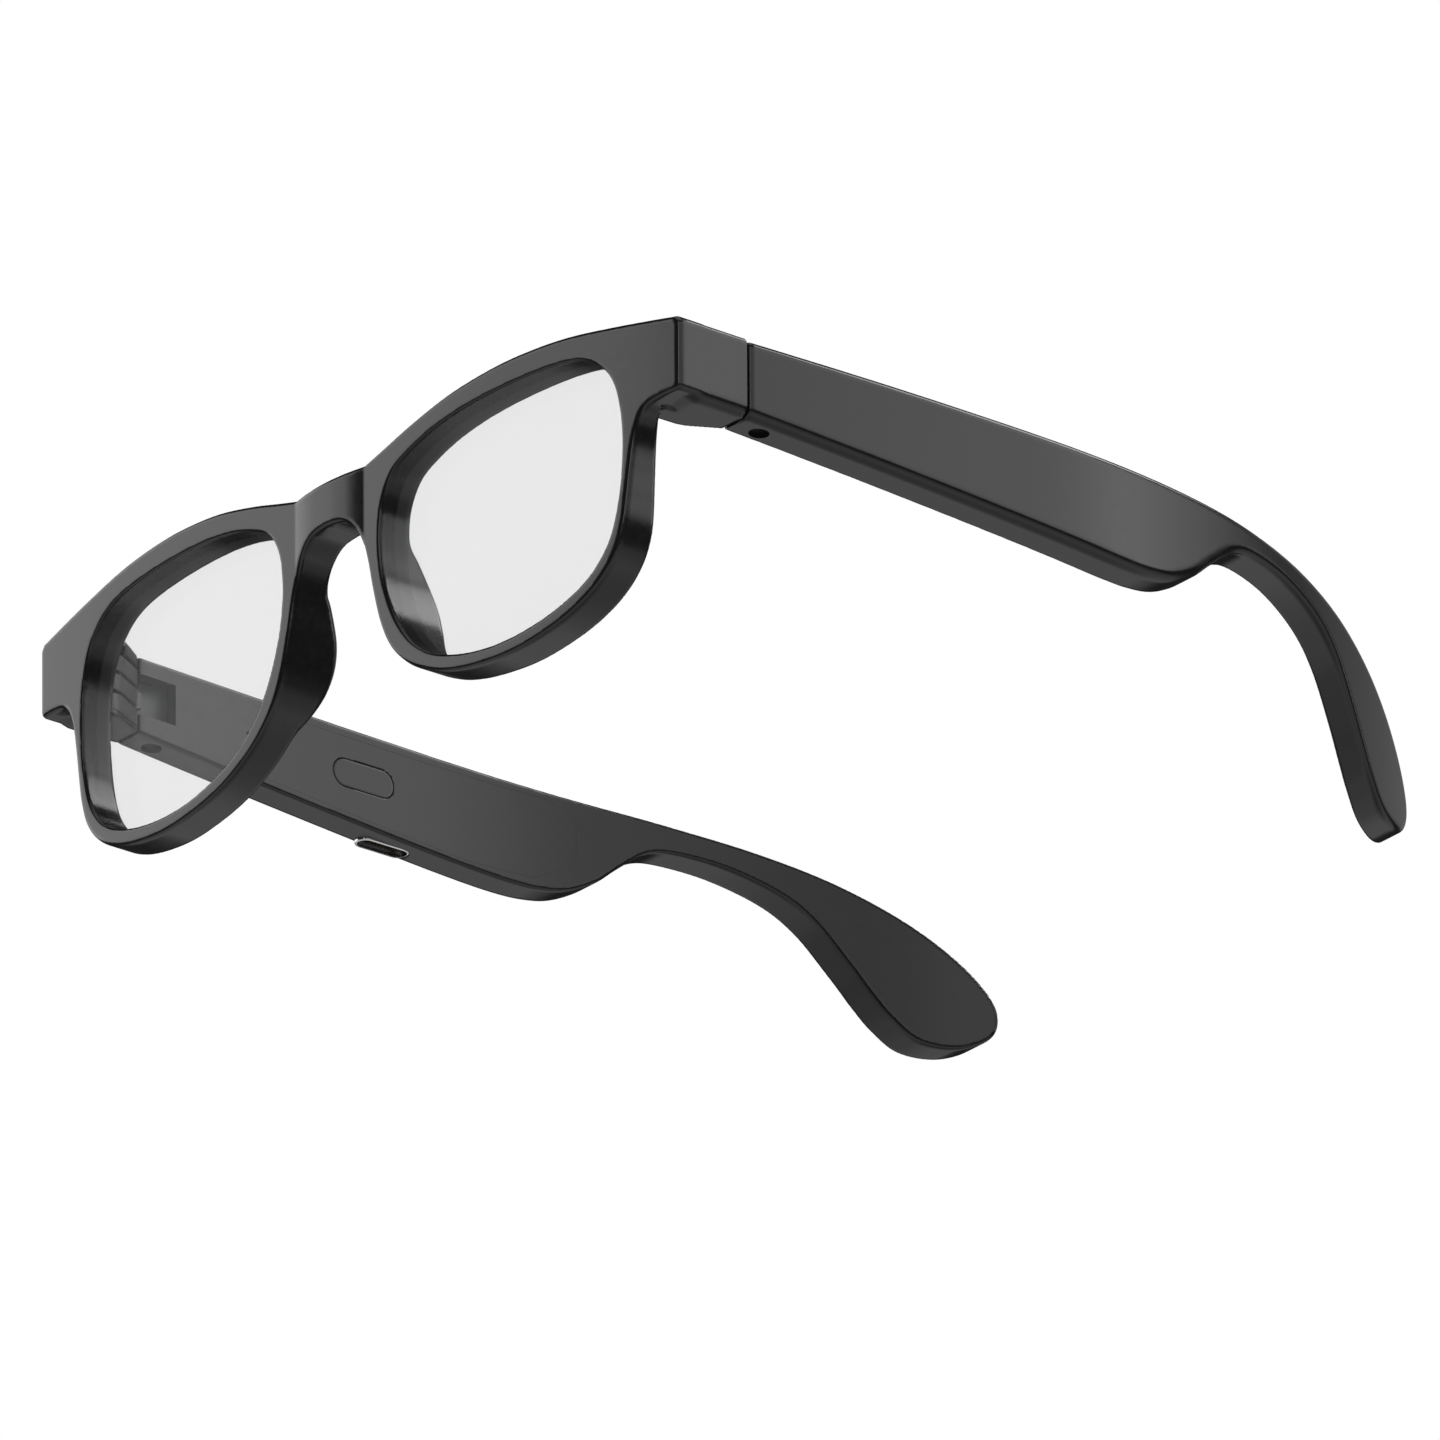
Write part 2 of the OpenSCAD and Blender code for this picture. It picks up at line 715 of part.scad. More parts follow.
module left_battery() {
    color([0.6, 0.6, 0.62]) place()
        pouch(bay_y0 + 36, bay_y1 - 7.5, 27.4, 36);
}

module right_battery() {
    color([0.6, 0.6, 0.62]) place() on_right()
        pouch(usb_y + 7.5, bay_y1 - 7.5, 26.9, 35.6);
}

// Circuit board that follows the outer wall, y0 to y1 and z0 to z1
module board(y0, y1, z0, z1, d0 = board_d0, d1 = board_d1) {
    intersection() {
        yz_prism(rounded([[y0, z0, 0.5], [y0, z1, 0.5], [y1, z1, 0.5], [y1, z0, 0.5]], 3),
            half_w - 20, half_w + 5);
        plan_band(d0, d1);
    }
}

// Chips on a board, [y, z, length, height, thickness] each
module chips(list) {
    for (c = list)
        intersection() {
            block([half_w - 12, c[0], c[1]], [half_w + 3, c[0] + c[2], c[1] + c[3]]);
            plan_band(board_d1, board_d1 + c[4]);
        }
}

module left_circuit_board() {
    color([0.05, 0.3, 0.15]) place()
        board(bay_y0 + 18, bay_y0 + 34, 29.6, 36.8);
}

module left_board_chips() {
    color([0.12, 0.12, 0.13]) place()
        chips([[bay_y0 + 19, 31, 4, 4, 0.9], [bay_y0 + 24, 30.6, 3, 3, 0.7],
            [bay_y0 + 24, 34.4, 1.6, 0.8, 0.5], [bay_y0 + 28, 30.5, 5, 5.5, 1]]);
}

module right_circuit_board() {
    color([0.05, 0.3, 0.15]) place() on_right()
        difference() {
            board(bay_y0 + 18, usb_y + 6, 29.1, 36.6);
            block([half_w - 10, usb_y - usb_w / 2 - 0.2, 20],
                [half_w + 4, usb_y + usb_w / 2 + 0.2, usb_top + 0.2]);
        }
}

module right_board_chips() {
    color([0.12, 0.12, 0.13]) place() on_right()
        chips([[bay_y0 + 18.6, 30.5, 5, 5.5, 1], [bay_y0 + 24.4, 33, 3, 3, 0.8],
            [bay_y0 + 24.4, 30, 2, 1.2, 0.6], [bay_y0 + 27.4, 29.6, 1.6, 0.8, 0.5],
            [usb_y + 1.5, 33, 3.4, 2.6, 0.8]]);
}

usb_z0 = 24.9;
usb_top = usb_z0 + 6.4;

module usb_c_shell() {
    color(steel) place() on_right()
        difference() {
            stadium_z(usb_x, usb_y, usb_z0, usb_top, usb_w, usb_h);
            stadium_z(usb_x, usb_y, usb_z0 - 1, usb_top - 0.4, usb_w - 0.6, usb_h - 0.6);
        }
}

module usb_c_tongue() {
    color(dark) place() on_right() {
        block([usb_x - 0.35, usb_y - 3.35, usb_z0 + 0.9], [usb_x + 0.35, usb_y + 3.35, usb_top - 1.4]);
        stadium_z(usb_x, usb_y, usb_top - 1.4 - eps, usb_top - 0.4, usb_w - 0.62, usb_h - 0.62);
    }
}

switch_x = temple_x(button_y - 1.5) - board_d1 - 0.01;

module tactile_switch() {
    color(steel) place() on_right() {
        block([switch_x - 1.2, button_y - 1.5, 31.7], [switch_x, button_y + 1.5, 34.1]);
        along_x(switch_x - 1.5, switch_x - 1.1, button_y, 32.9, 1.4);
    }
}

module power_button() {
    color(dark) place() on_right() {
        intersection() {
            capsule_x(half_w - 9, half_w, button_l, button_h);
            plan_band(temple_t - cover_t - 0.1, temple_t);
        }
        // flange that keeps it behind the cover
        intersection() {
            capsule_x(half_w - 9, half_w, button_l + 1.2, button_h + 1.2);
            plan_band(temple_t - cover_t - 0.38, temple_t - cover_t - 0.02);
        }
        along_x(temple_x(button_y) - temple_t + 0.4, switch_x - 1.5 - button_travel - slack,
            button_y, 32.9, 1.6);
    }
}

module microphone() {
    color(steel) place() on_right()
        intersection() {
            difference() {
                block([half_w - 12, pinhole_y - 1.7, pinhole_z - 1.3],
                    [half_w, pinhole_y + 1.7, pinhole_z + 1.3]);
                along_x(half_w - 12, temple_x(pinhole_y) - temple_t + cover_t + 0.5,
                    pinhole_y, pinhole_z, 0.6);
            }
            plan_band(temple_t - cover_t - 1, temple_t - cover_t - 0.02);
        }
}

// Flat cable between board and battery, under the cover
module flex(y0, y1, z) {
    intersection() {
        block([half_w - 12, y0, z], [half_w, y1, z + 1.6]);
        plan_band(temple_t - cover_t - 0.35, temple_t - cover_t - 0.1);
    }
}

module left_flex_cable() {
    color([0.7, 0.4, 0.1]) place()
        flex(bay_y0 + 34.3, bay_y1 - 30, 33);
}

module right_flex_cable() {
    color([0.7, 0.4, 0.1]) place() on_right()
        flex(usb_y + 6.5, bay_y1 - 12, 29);
}

module left_touch_film() {
    color([0.7, 0.4, 0.1]) place()
        board(bay_y0 + 18, bay_y1 - 14, 29.8, 36.4, wall + slack, board_d0 - slack);
}

module front_flex_cable() {
    color([0.7, 0.4, 0.1]) place()
        union() {
            flex_ribbon(0);
            flex_tail(0, split_y - 0.2);
        }
}

front_frame();
lens_left();
lens_right();
front_flex_cable();
front_hinge_left();
front_hinge_right();
front_hinge_screws();
pivot_screw_left();
pivot_screw_right();
left_temple_shell();
left_inner_cover();
left_temple_hinge();
left_hinge_screws();
left_ear_core();
left_speaker();
left_port_mesh();
left_battery();
left_circuit_board();
left_board_chips();
left_flex_cable();
left_touch_film();
right_temple_shell();
right_inner_cover();
right_temple_hinge();
right_hinge_screws();
right_ear_core();
right_speaker();
right_port_mesh();
right_battery();
right_circuit_board();
right_board_chips();
right_flex_cable();
microphone();
usb_c_shell();
usb_c_tongue();
tactile_switch();
power_button();
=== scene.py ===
# Smart glasses: visible shapes, finishes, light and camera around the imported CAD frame.
import json
import math

import bmesh
import bpy
import numpy as np
from mathutils import Matrix, Vector


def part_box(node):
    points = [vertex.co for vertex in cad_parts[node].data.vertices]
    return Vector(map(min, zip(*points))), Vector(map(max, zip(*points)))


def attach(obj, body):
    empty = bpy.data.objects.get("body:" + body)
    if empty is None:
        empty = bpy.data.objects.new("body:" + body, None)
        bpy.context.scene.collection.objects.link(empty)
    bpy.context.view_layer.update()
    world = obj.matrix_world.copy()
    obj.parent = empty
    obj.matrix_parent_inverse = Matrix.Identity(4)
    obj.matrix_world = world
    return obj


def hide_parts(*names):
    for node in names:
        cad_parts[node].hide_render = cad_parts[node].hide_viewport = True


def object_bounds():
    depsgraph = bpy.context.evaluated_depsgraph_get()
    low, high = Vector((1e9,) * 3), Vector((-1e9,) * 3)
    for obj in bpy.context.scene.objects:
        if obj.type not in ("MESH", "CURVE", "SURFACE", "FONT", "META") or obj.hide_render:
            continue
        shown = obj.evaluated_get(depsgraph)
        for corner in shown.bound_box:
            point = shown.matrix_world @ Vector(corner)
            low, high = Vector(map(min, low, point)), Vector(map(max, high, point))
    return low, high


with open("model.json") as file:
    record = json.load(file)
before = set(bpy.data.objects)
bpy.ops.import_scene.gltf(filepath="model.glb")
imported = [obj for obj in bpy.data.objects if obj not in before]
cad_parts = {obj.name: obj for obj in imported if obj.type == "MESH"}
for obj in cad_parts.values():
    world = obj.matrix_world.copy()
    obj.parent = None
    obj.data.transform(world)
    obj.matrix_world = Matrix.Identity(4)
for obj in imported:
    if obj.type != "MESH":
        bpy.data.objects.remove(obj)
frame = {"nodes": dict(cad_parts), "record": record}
CAD_LOW, CAD_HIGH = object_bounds()
NODES = frame["nodes"]

# ---------- Lengths in millimetres, in the frame the CAD source is drawn in ----------

MM = 0.001
NET, LENS_NET = 0.32, 0.4           # cell sizes of the surface nets
FRONT_GRID = ((-73.3, -1.7, -1.3), (73.3, 18.2, 45.3))
LENS_GRID = ((9, 1.5, 0), (63, 9.5, 42.5))
TEMPLE_GRID = ((41.8, 17, 6), (73.8, 154.6, 41))
CRISP, SOFT = 0.1, 0.3              # radii of crisp and of softened moulded edges
GAP = 0.05                          # gap between parts that only rest in each other
THROUGH = (40, 80)                  # x range that passes right through a temple

# Front: face, rims and bridge ridge
HALF_W, FACE_Y, FACE_WRAP, RIM_DEPTH = 72.5, -0.2, 5.1, 5.5
FACE_R = (HALF_W ** 2 + FACE_WRAP ** 2) / (2 * FACE_WRAP)
RIDGE, RIDGE_HALF = 0.9, 7.6
RIM_ROUND, BACK_ROUND, OPENING_ROUND = 0.72, 0.5, 0.4

# Nose pads: how gently they rise, the x over which they fade out, their top and its fade
PAD_EASE, PAD_X, PAD_TOP, PAD_FADE, PAD_ROUND = 0.6, (20, 25), 32, 4, 0.9

# End pieces: place, and the rise of their underside towards the rim
END_Y, SPLIT_Y, LOW_Z, TOP_Z = 5.9, 17.4, 28.2, 40.2
IN_X, OUT_X, END_W = HALF_W - 6.3, HALF_W - 0.35, 6
LIFT, LIFT_Y, LIFT_TOP, LIFT_H = 0.85, (6.2, 9.5), 36, 6

# Bevel behind the lower rims: a point on it, its direction, the heights it spans and its outer end
BEVEL_X, BEVEL_Y, BEVEL_SIN, BEVEL_COS = HALF_W - 11.3, 9.1, 0.455, 0.89
BEVEL_Z, BEVEL_HALF, BEVEL_END, BEVEL_ROUND = 16.5, 12.5, HALF_W - 5.5, 0.25

# Lenses: how far they reach into the groove, and their front and back behind the face
LENS_BITE, LENS_FRONT, LENS_BACK = 0.6, 2.8, 4.6

# Temples: length, shell, inward sweep of the hook and the radii along its outer edges
TEMPLE_Y, BACK_Y = SPLIT_Y + 0.35, 153.75
TEMPLE_T, COVER_T, WALL = 5.9, 1.1, 1.2
BOW, BOW_Y, HOOK_BEND, HOOK_POWER = 0.9, TEMPLE_Y + 47.5, 24.0, 2.5
HOOK_Y = (TEMPLE_Y + 78, TEMPLE_Y + 100)
TOP_ROUND, LOW_ROUND, HOOK_LESS, INNER_ROUND = 1.2, 1.7, 0.6, 0.5
ROOT_ROUND, ROOT_LESS, ROOT_DEEP = 0.6, 0.4, (0.5, 4)   # along the root, and less of it further inside

# Hinges: axis, knuckles, ears, the front's base plate and the temple's leaf
AXIS = (HALF_W - 7.3, SPLIT_Y - 4.6)
KNUCKLE_R, KNUCKLE_GAP, KNUCKLE_EDGE = 3.5, 0.6, 0.06
STACK_Z0, EAR_Z, EAR_TOP = LOW_Z + 1.05, LOW_Z + 10.3, 41.2
STACK_Z1 = EAR_Z - KNUCKLE_GAP
KNUCKLE_H = (STACK_Z1 - STACK_Z0 - 2 * KNUCKLE_GAP) / 3
PITCH = KNUCKLE_H + KNUCKLE_GAP
EAR_Y, EAR_SLOPE_Y, EAR_LEAN = FACE_Y + 6.6, (11.8, 5.6), 0.98
HINGE_X, POCKET_X = HALF_W - 8.9, HALF_W - 2.4
PLATE_Y, PLATE_T = AXIS[1] - KNUCKLE_R - 0.25, 1.05
LEAF_X, LEAF_Z0, LEAF_Z1 = 69.75, LOW_Z + 3.1, LOW_Z + 9.1
PIVOT_HOLE, SCREW_HOLE, SCREW_SEAT, SEAT_DEPTH = 1.62, 1.42, 2.42, 0.6
SCREW_STEPS = (0.1, 3.1)            # x of the front hinge's screws from the axis

# Electronics bay, sound port, and the slot for the flex cable's tail through the end pieces
BAY_Y0, BAY_Y1 = TEMPLE_Y + 8, TEMPLE_Y + 77.5
PORT_X, PORT_Y, PORT_D, PORT_MOUTH = HALF_W - 3.6, TEMPLE_Y + 4.1, 3.0, 0.7
FLEX_LOW, FLEX_HIGH = (70.65, 15, 37.15), (71.0, SPLIT_Y + 1, 38.85)
HOLE_PITCH, HOLE_D, HOLES_R = 0.36, 0.22, 1.2

# Charging port, power button and microphone pinhole in the right temple
USB_X, USB_Y, USB_Z0, USB_Z1, USB_W, USB_H = 70.77, TEMPLE_Y + 46.7, 24.9, 31.3, 8.94, 3.16
USB_PROUD, USB_SHEET, TONGUE_HALF, CONTACT_PITCH = 0.4, 0.3, (0.35, 3.35), 0.5
BUTTON_Y, BUTTON_Z, BUTTON_L, BUTTON_H, STEM_Z, STEM_D = TEMPLE_Y + 40.6, 32.5, 10.8, 4.2, 32.9, 1.6
PINHOLE_Y, PINHOLE_Z, PINHOLE_D = TEMPLE_Y + 19.8, 33.6, 0.8

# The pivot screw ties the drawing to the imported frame
pivot_low, pivot_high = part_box("pivot_screw_left")
ORIGIN = Vector(((pivot_low.x + pivot_high.x) / 2 - AXIS[0] * MM,
                 (pivot_low.y + pivot_high.y) / 2 - AXIS[1] * MM, pivot_high.z - STACK_Z1 * MM))

# Half of the front's outline, the lens opening, the temple's side view and the pads' profile
BROW = [[7.6, 38.6], [12, 39.8], [18, 41.5], [26, 43.3], [34, 44.2], [41, 44.4], [50, 43.9],
        [60, 42.4], [HALF_W - 0.8, 40.33]]
LUG = [[HALF_W, 39.4], [HALF_W, 29.6]]
RIM = [[HALF_W - 0.6, 29], [HALF_W - 3.4, 28.9], [66.2, 28.3], [64.7, 26.7], [63.7, 24],
       [63, 20.3], [62.4, 16.4], [61.6, 12], [60.1, 8.1], [57.2, 4.8], [53, 2.3], [47.2, 0.5],
       [39.5, -0.5], [31.8, -0.1], [25.6, 1.1], [20.6, 3.1], [16.6, 5.6], [13.2, 9.1],
       [11, 13.4], [9.4, 18.8], [8.2, 24], [7, 27.6], [5.5, 29.9], [3.2, 31.4], [0, 31.8]]
APERTURE = [[11.05, 27], [11.7, 31.6], [13.9, 35.4], [17.8, 37.5], [23.2, 39.1], [30, 40.1],
            [38.5, 40.5], [47, 40.3], [53, 39.4], [57, 37.2], [59.6, 33.8], [61, 28.5],
            [61.25, 22.5], [60.5, 15.9], [58.6, 10.2], [54.8, 6.1], [49, 3.5], [42, 2.1],
            [35, 1.9], [28.4, 2.9], [22.6, 4.9], [18, 8.2], [14.6, 12.8], [12.3, 18.2],
            [11.3, 22.6]]
SIDE_TOP = [[0, 40], [30, 39.7], [60, 39.1], [83, 38.2], [95, 37.1], [105, 35.4], [114.3, 32.6],
            [122.3, 28.6], [128.6, 23.9], [133.4, 18.6], [135.85, 13.7]]
SIDE_LOW = [[135.2, 9.7], [131.2, 7.75], [126.4, 8.5], [123, 11.6], [120.5, 15],
            [117.6, 19.4], [113, 25.6], [108, 29.5], [100.5, 32.3], [93, 33.2], [88.6, 32.4],
            [84.6, 29.6], [80.8, 26.5], [76.5, 24.3], [72.5, 23.45], [67, 23.3], [56, 24],
            [28, 26.1], [0, 28.2]]
PAD_HUMP = [[4, 28.6], [5.9, 26], [7.3, 24], [8.9, 20], [9.35, 16.5], [8.8, 13], [7.6, 10],
            [6.2, 7.6], [4.2, 5]]


# ---------- Outlines ----------

def curve(points, steps, closed=False):
    """Smooth curve through the points."""
    p = np.asarray(points, float)
    m = len(p)
    out = []
    for i in range(m if closed else m - 1):
        if closed:
            a, b, c, d = p[i - 1], p[i], p[(i + 1) % m], p[(i + 2) % m]
        else:
            a, b, c, d = p[max(i - 1, 0)], p[i], p[i + 1], p[min(i + 2, m - 1)]
        for k in range(steps):
            t = k / steps
            out.append(0.5 * (2 * b + (c - a) * t + (2 * a - 5 * b + 4 * c - d) * t * t
                              + (3 * b - a - 3 * c + d) * t ** 3))
    if not closed:
        out.append(p[-1])
    return np.array(out)


def rounded(corners, steps=6):
    """Polygon whose corners (u, v, radius) are rounded."""
    out, m = [], len(corners)
    for i in range(m):
        c = np.array(corners[i][:2], float)
        a = np.array(corners[i - 1][:2], float) - c
        b = np.array(corners[(i + 1) % m][:2], float) - c
        a, b, r = a / np.linalg.norm(a), b / np.linalg.norm(b), corners[i][2]
        half = math.acos(float(a @ b)) / 2
        o = c + (a + b) / np.linalg.norm(a + b) * r / math.sin(half)
        p, q = c + a * r / math.tan(half) - o, c + b * r / math.tan(half) - o
        for k in range(steps + 1):
            w = p + (q - p) * k / steps
            out.append(o + w / np.linalg.norm(w) * r)
    return np.array(out)


def arc(cu, cv, r, start, stop, steps):
    """Points of an arc between two angles in degrees."""
    a = np.radians(np.linspace(start, stop, steps + 1))
    return np.stack([cu + r * np.cos(a), cv + r * np.sin(a)], -1)


def stadium(cu, cv, length, width, steps=14):
    """Capsule outline whose length runs along u."""
    off = (length - width) / 2
    return np.concatenate([arc(cu + off, cv, width / 2, -90, 90, steps),
                           arc(cu - off, cv, width / 2, 90, 270, steps)])


def to_polyline(u, v, outline, closed=True):
    """Distance from every (u, v) to a polyline, and whether the closed outline holds the point."""
    p = np.asarray(outline, float)
    q = np.roll(p, -1, 0)
    if not closed:
        p, q = p[:-1], q[:-1]
    best = np.full(u.shape, 1e9)
    odd = np.zeros(u.shape, bool)
    for (au, av), (bu, bv) in zip(p, q):
        du, dv = bu - au, bv - av
        size = du * du + dv * dv
        if size < 1e-12:
            continue
        wu, wv = u - au, v - av
        t = np.clip((wu * du + wv * dv) / size, 0, 1)
        best = np.minimum(best, (wu - t * du) ** 2 + (wv - t * dv) ** 2)
        if closed and av != bv:
            odd ^= ((av > v) != (bv > v)) & (u < au + (v - av) * du / dv)
    return np.sqrt(best), odd


class Field:
    """A quantity sampled on a fine grid over a plane, with bilinear reading."""

    def __init__(self, low, high, measure, step=0.12):
        self.low, self.step = np.array(low, float), step
        u = np.arange(low[0], high[0] + step, step)
        v = np.arange(low[1], high[1] + step, step)
        self.grid = measure(*np.meshgrid(u, v, indexing="ij"))

    def __call__(self, u, v):
        a, b = np.broadcast_arrays((u - self.low[0]) / self.step, (v - self.low[1]) / self.step)
        n, m = self.grid.shape
        a, b = np.clip(a, 0, n - 1.001), np.clip(b, 0, m - 1.001)
        i, j = a.astype(int), b.astype(int)
        a, b = a - i, b - j
        g = self.grid
        return ((g[i, j] * (1 - b) + g[i, j + 1] * b) * (1 - a)
                + (g[i + 1, j] * (1 - b) + g[i + 1, j + 1] * b) * a)


def signed(outline):
    """Signed distance to a closed outline, negative inside."""
    def measure(u, v):
        far, odd = to_polyline(u, v, outline)
        return np.where(odd, -far, far)
    return measure


def meet(a, b, r):
    """What two shapes share, with a round of radius r along the edge."""
    return np.minimum(-r, np.maximum(a, b)) + np.hypot(np.maximum(a + r, 0), np.maximum(b + r, 0))


def smooth_step(x, low, high):
    """Eases from 0 at low to 1 at high."""
    t = np.clip((x - low) / (high - low), 0, 1)
    return t * t * (3 - 2 * t)


def hinge_corners(x1, y0):
    """Plan shared by the knuckles and the ears, from y0 back and out to x1."""
    return [[HINGE_X, y0, 0.01], [x1, y0, 0.01], [x1, SPLIT_Y - 0.05, 0.01],
            [IN_X + 0.1, SPLIT_Y - 0.05, 0.01], [HINGE_X, AXIS[1] - 0.6, 5]]


half_outline = np.concatenate([[[0, 38.6]], curve(BROW, 8), curve(LUG, 2), curve(RIM, 8)])
whole_outline = np.concatenate([half_outline, (half_outline * [-1, 1])[-2:0:-1]])
aperture_outline = curve(APERTURE, 10, closed=True)
side_path = curve(SIDE_TOP + SIDE_LOW, 8) + [TEMPLE_Y, 0]
tip = 8 * (len(SIDE_TOP) - 1)
side_top, side_low = side_path[:tip + 1], side_path[tip:]
side_outline = np.concatenate([side_path, [[TEMPLE_Y - 6, 28.65], [TEMPLE_Y - 6, 40.05]]])
end_section = rounded([[IN_X, LOW_Z, 0.5], [IN_X, TOP_Z, 0.3], [HALF_W, TOP_Z, 0.95],
                       [HALF_W, LOW_Z, 1.8]], 10)
ear_plan = rounded(hinge_corners(IN_X + 1, EAR_Y), 10)
hump = curve(PAD_HUMP, 6)[::-1]

OUTLINE = Field((-1, -3), (75, 47), signed(whole_outline))
OPENING = Field((-1, -3), (75, 47), signed(aperture_outline))
SECTION = Field((60, 25), (75, 43), signed(end_section), 0.06)
EAR = Field((60, 4), (70, 20), signed(ear_plan), 0.06)
SIDE = Field((15, 4), (157, 43), signed(side_outline))


def towards_top(y, z):
    """0 along the lower edge of a temple and 1 along its upper edge."""
    up, low = to_polyline(y, z, side_top, False)[0], to_polyline(y, z, side_low, False)[0]
    return smooth_step(low / (up + low + 1e-9), 0.3, 0.7)


HEIGHT = Field((15, 4), (157, 43), towards_top, 0.5)


def face(x):
    """Y of the face over x."""
    return FACE_Y + FACE_R - np.sqrt(FACE_R ** 2 - np.square(x))


def temple_x(y):
    """X of a temple's outer face over y."""
    bow = OUT_X + BOW - BOW * ((BOW_Y - y) / (BOW_Y - TEMPLE_Y)) ** 2
    sweep = OUT_X + BOW - HOOK_BEND * (np.maximum(y - BOW_Y, 0) / (BACK_Y - BOW_Y)) ** HOOK_POWER
    return np.where(y < BOW_Y, bow, sweep)


def temple_lean(y):
    """Cosine of the angle between the temple's outer face and the Y axis."""
    slope = (temple_x(y + 0.01) - temple_x(y - 0.01)) / 0.02
    return 1 / np.sqrt(1 + slope * slope)


# ---------- Signed distances of the moulded parts ----------

def end_piece(narrow, y, z):
    """Bar between a rim and its temple, whose underside rises towards the rim."""
    lifted = LIFT * (1 - smooth_step(y, *LIFT_Y)) * np.clip((LIFT_TOP - z) / LIFT_H, 0, 1)
    return meet(meet(SECTION(narrow, z - lifted), y - SPLIT_Y, CRISP), END_Y - y, SOFT)


def ears(x, y, z):
    """Plates under and over a hinge. The upper one slopes down towards the temple."""
    plan = EAR(x, y)
    under = meet(meet(plan, LOW_Z - z, 0.4), z - STACK_Z0 + GAP, CRISP)
    slope_y, slope_l = EAR_SLOPE_Y
    top = EAR_TOP - (EAR_TOP - TOP_Z + 0.1) * np.clip((y - slope_y) / slope_l, 0, 1)
    over = meet(meet(plan, EAR_Z - z, CRISP), (z - top) * EAR_LEAN, SOFT)
    return np.minimum(under, over)


def hook_bevel(x, y, z):
    """What is left in front of the bevel that makes room for the folded ear hooks."""
    slant = (y - BEVEL_Y) * BEVEL_COS + (x - BEVEL_X) * BEVEL_SIN
    return np.minimum(np.minimum(slant, BEVEL_HALF - np.abs(z - BEVEL_Z)), BEVEL_END - x)


def front_shape(x, y, z):
    """Rims, bridge, nose pads, end pieces and ears in one moulding."""
    x = np.abs(x)
    lead = face(x)
    ridge_r = (RIDGE_HALF ** 2 + RIDGE ** 2) / (2 * RIDGE)
    crest = FACE_Y - RIDGE + ridge_r - np.sqrt(ridge_r ** 2 - np.minimum(x, RIDGE_HALF) ** 2)
    front = np.where(x < RIDGE_HALF, np.minimum(lead, crest), lead)
    rise = np.interp(z, hump[:, 1], hump[:, 0]) - lead - RIM_DEPTH
    pad = (rise + np.sqrt(rise * rise + PAD_EASE)) / 2
    pad = pad * (1 - smooth_step(x, *PAD_X)) * smooth_step(PAD_TOP - z, 0, PAD_FADE)
    taper = (HALF_W - OUT_X) * np.clip((y - END_Y) / (SPLIT_Y - END_Y), 0, 1)
    narrow = x + taper * np.clip((x - IN_X) / END_W, 0, 1)
    body = meet(OUTLINE(narrow, z), front - y, RIM_ROUND)
    body = meet(body, y - lead - RIM_DEPTH - pad, BACK_ROUND + PAD_ROUND * np.clip(pad, 0, 1))
    body = meet(body, -OPENING(x, z), OPENING_ROUND)
    end = np.minimum(end_piece(narrow, y, z), ears(x, y, z))
    return np.minimum(meet(body, hook_bevel(x, y, z), BEVEL_ROUND), end)


def temple_shape(x, y, z):
    """The wearer's left temple, solid, with its ear hook."""
    lean = temple_lean(y)
    outside = (x - temple_x(y)) * lean
    inside = (temple_x(y) - TEMPLE_T - x) * lean
    side, top = SIDE(y, z), HEIGHT(y, z)
    outer_r = TOP_ROUND * top + (LOW_ROUND - HOOK_LESS * smooth_step(y, *HOOK_Y)) * (1 - top)
    shape = meet(meet(side, outside, outer_r), inside, INNER_ROUND)
    root_r = ROOT_ROUND - ROOT_LESS * smooth_step(-outside, *ROOT_DEEP)
    return meet(shape, TEMPLE_Y - y, root_r)


def lens_shape(x, y, z):
    """One curved lens, which follows the face."""
    deep = y - face(x)
    edge = OPENING(np.abs(x), z) - LENS_BITE
    return meet(meet(edge, LENS_FRONT - deep, CRISP), deep - LENS_BACK, CRISP)


# ---------- Meshes ----------

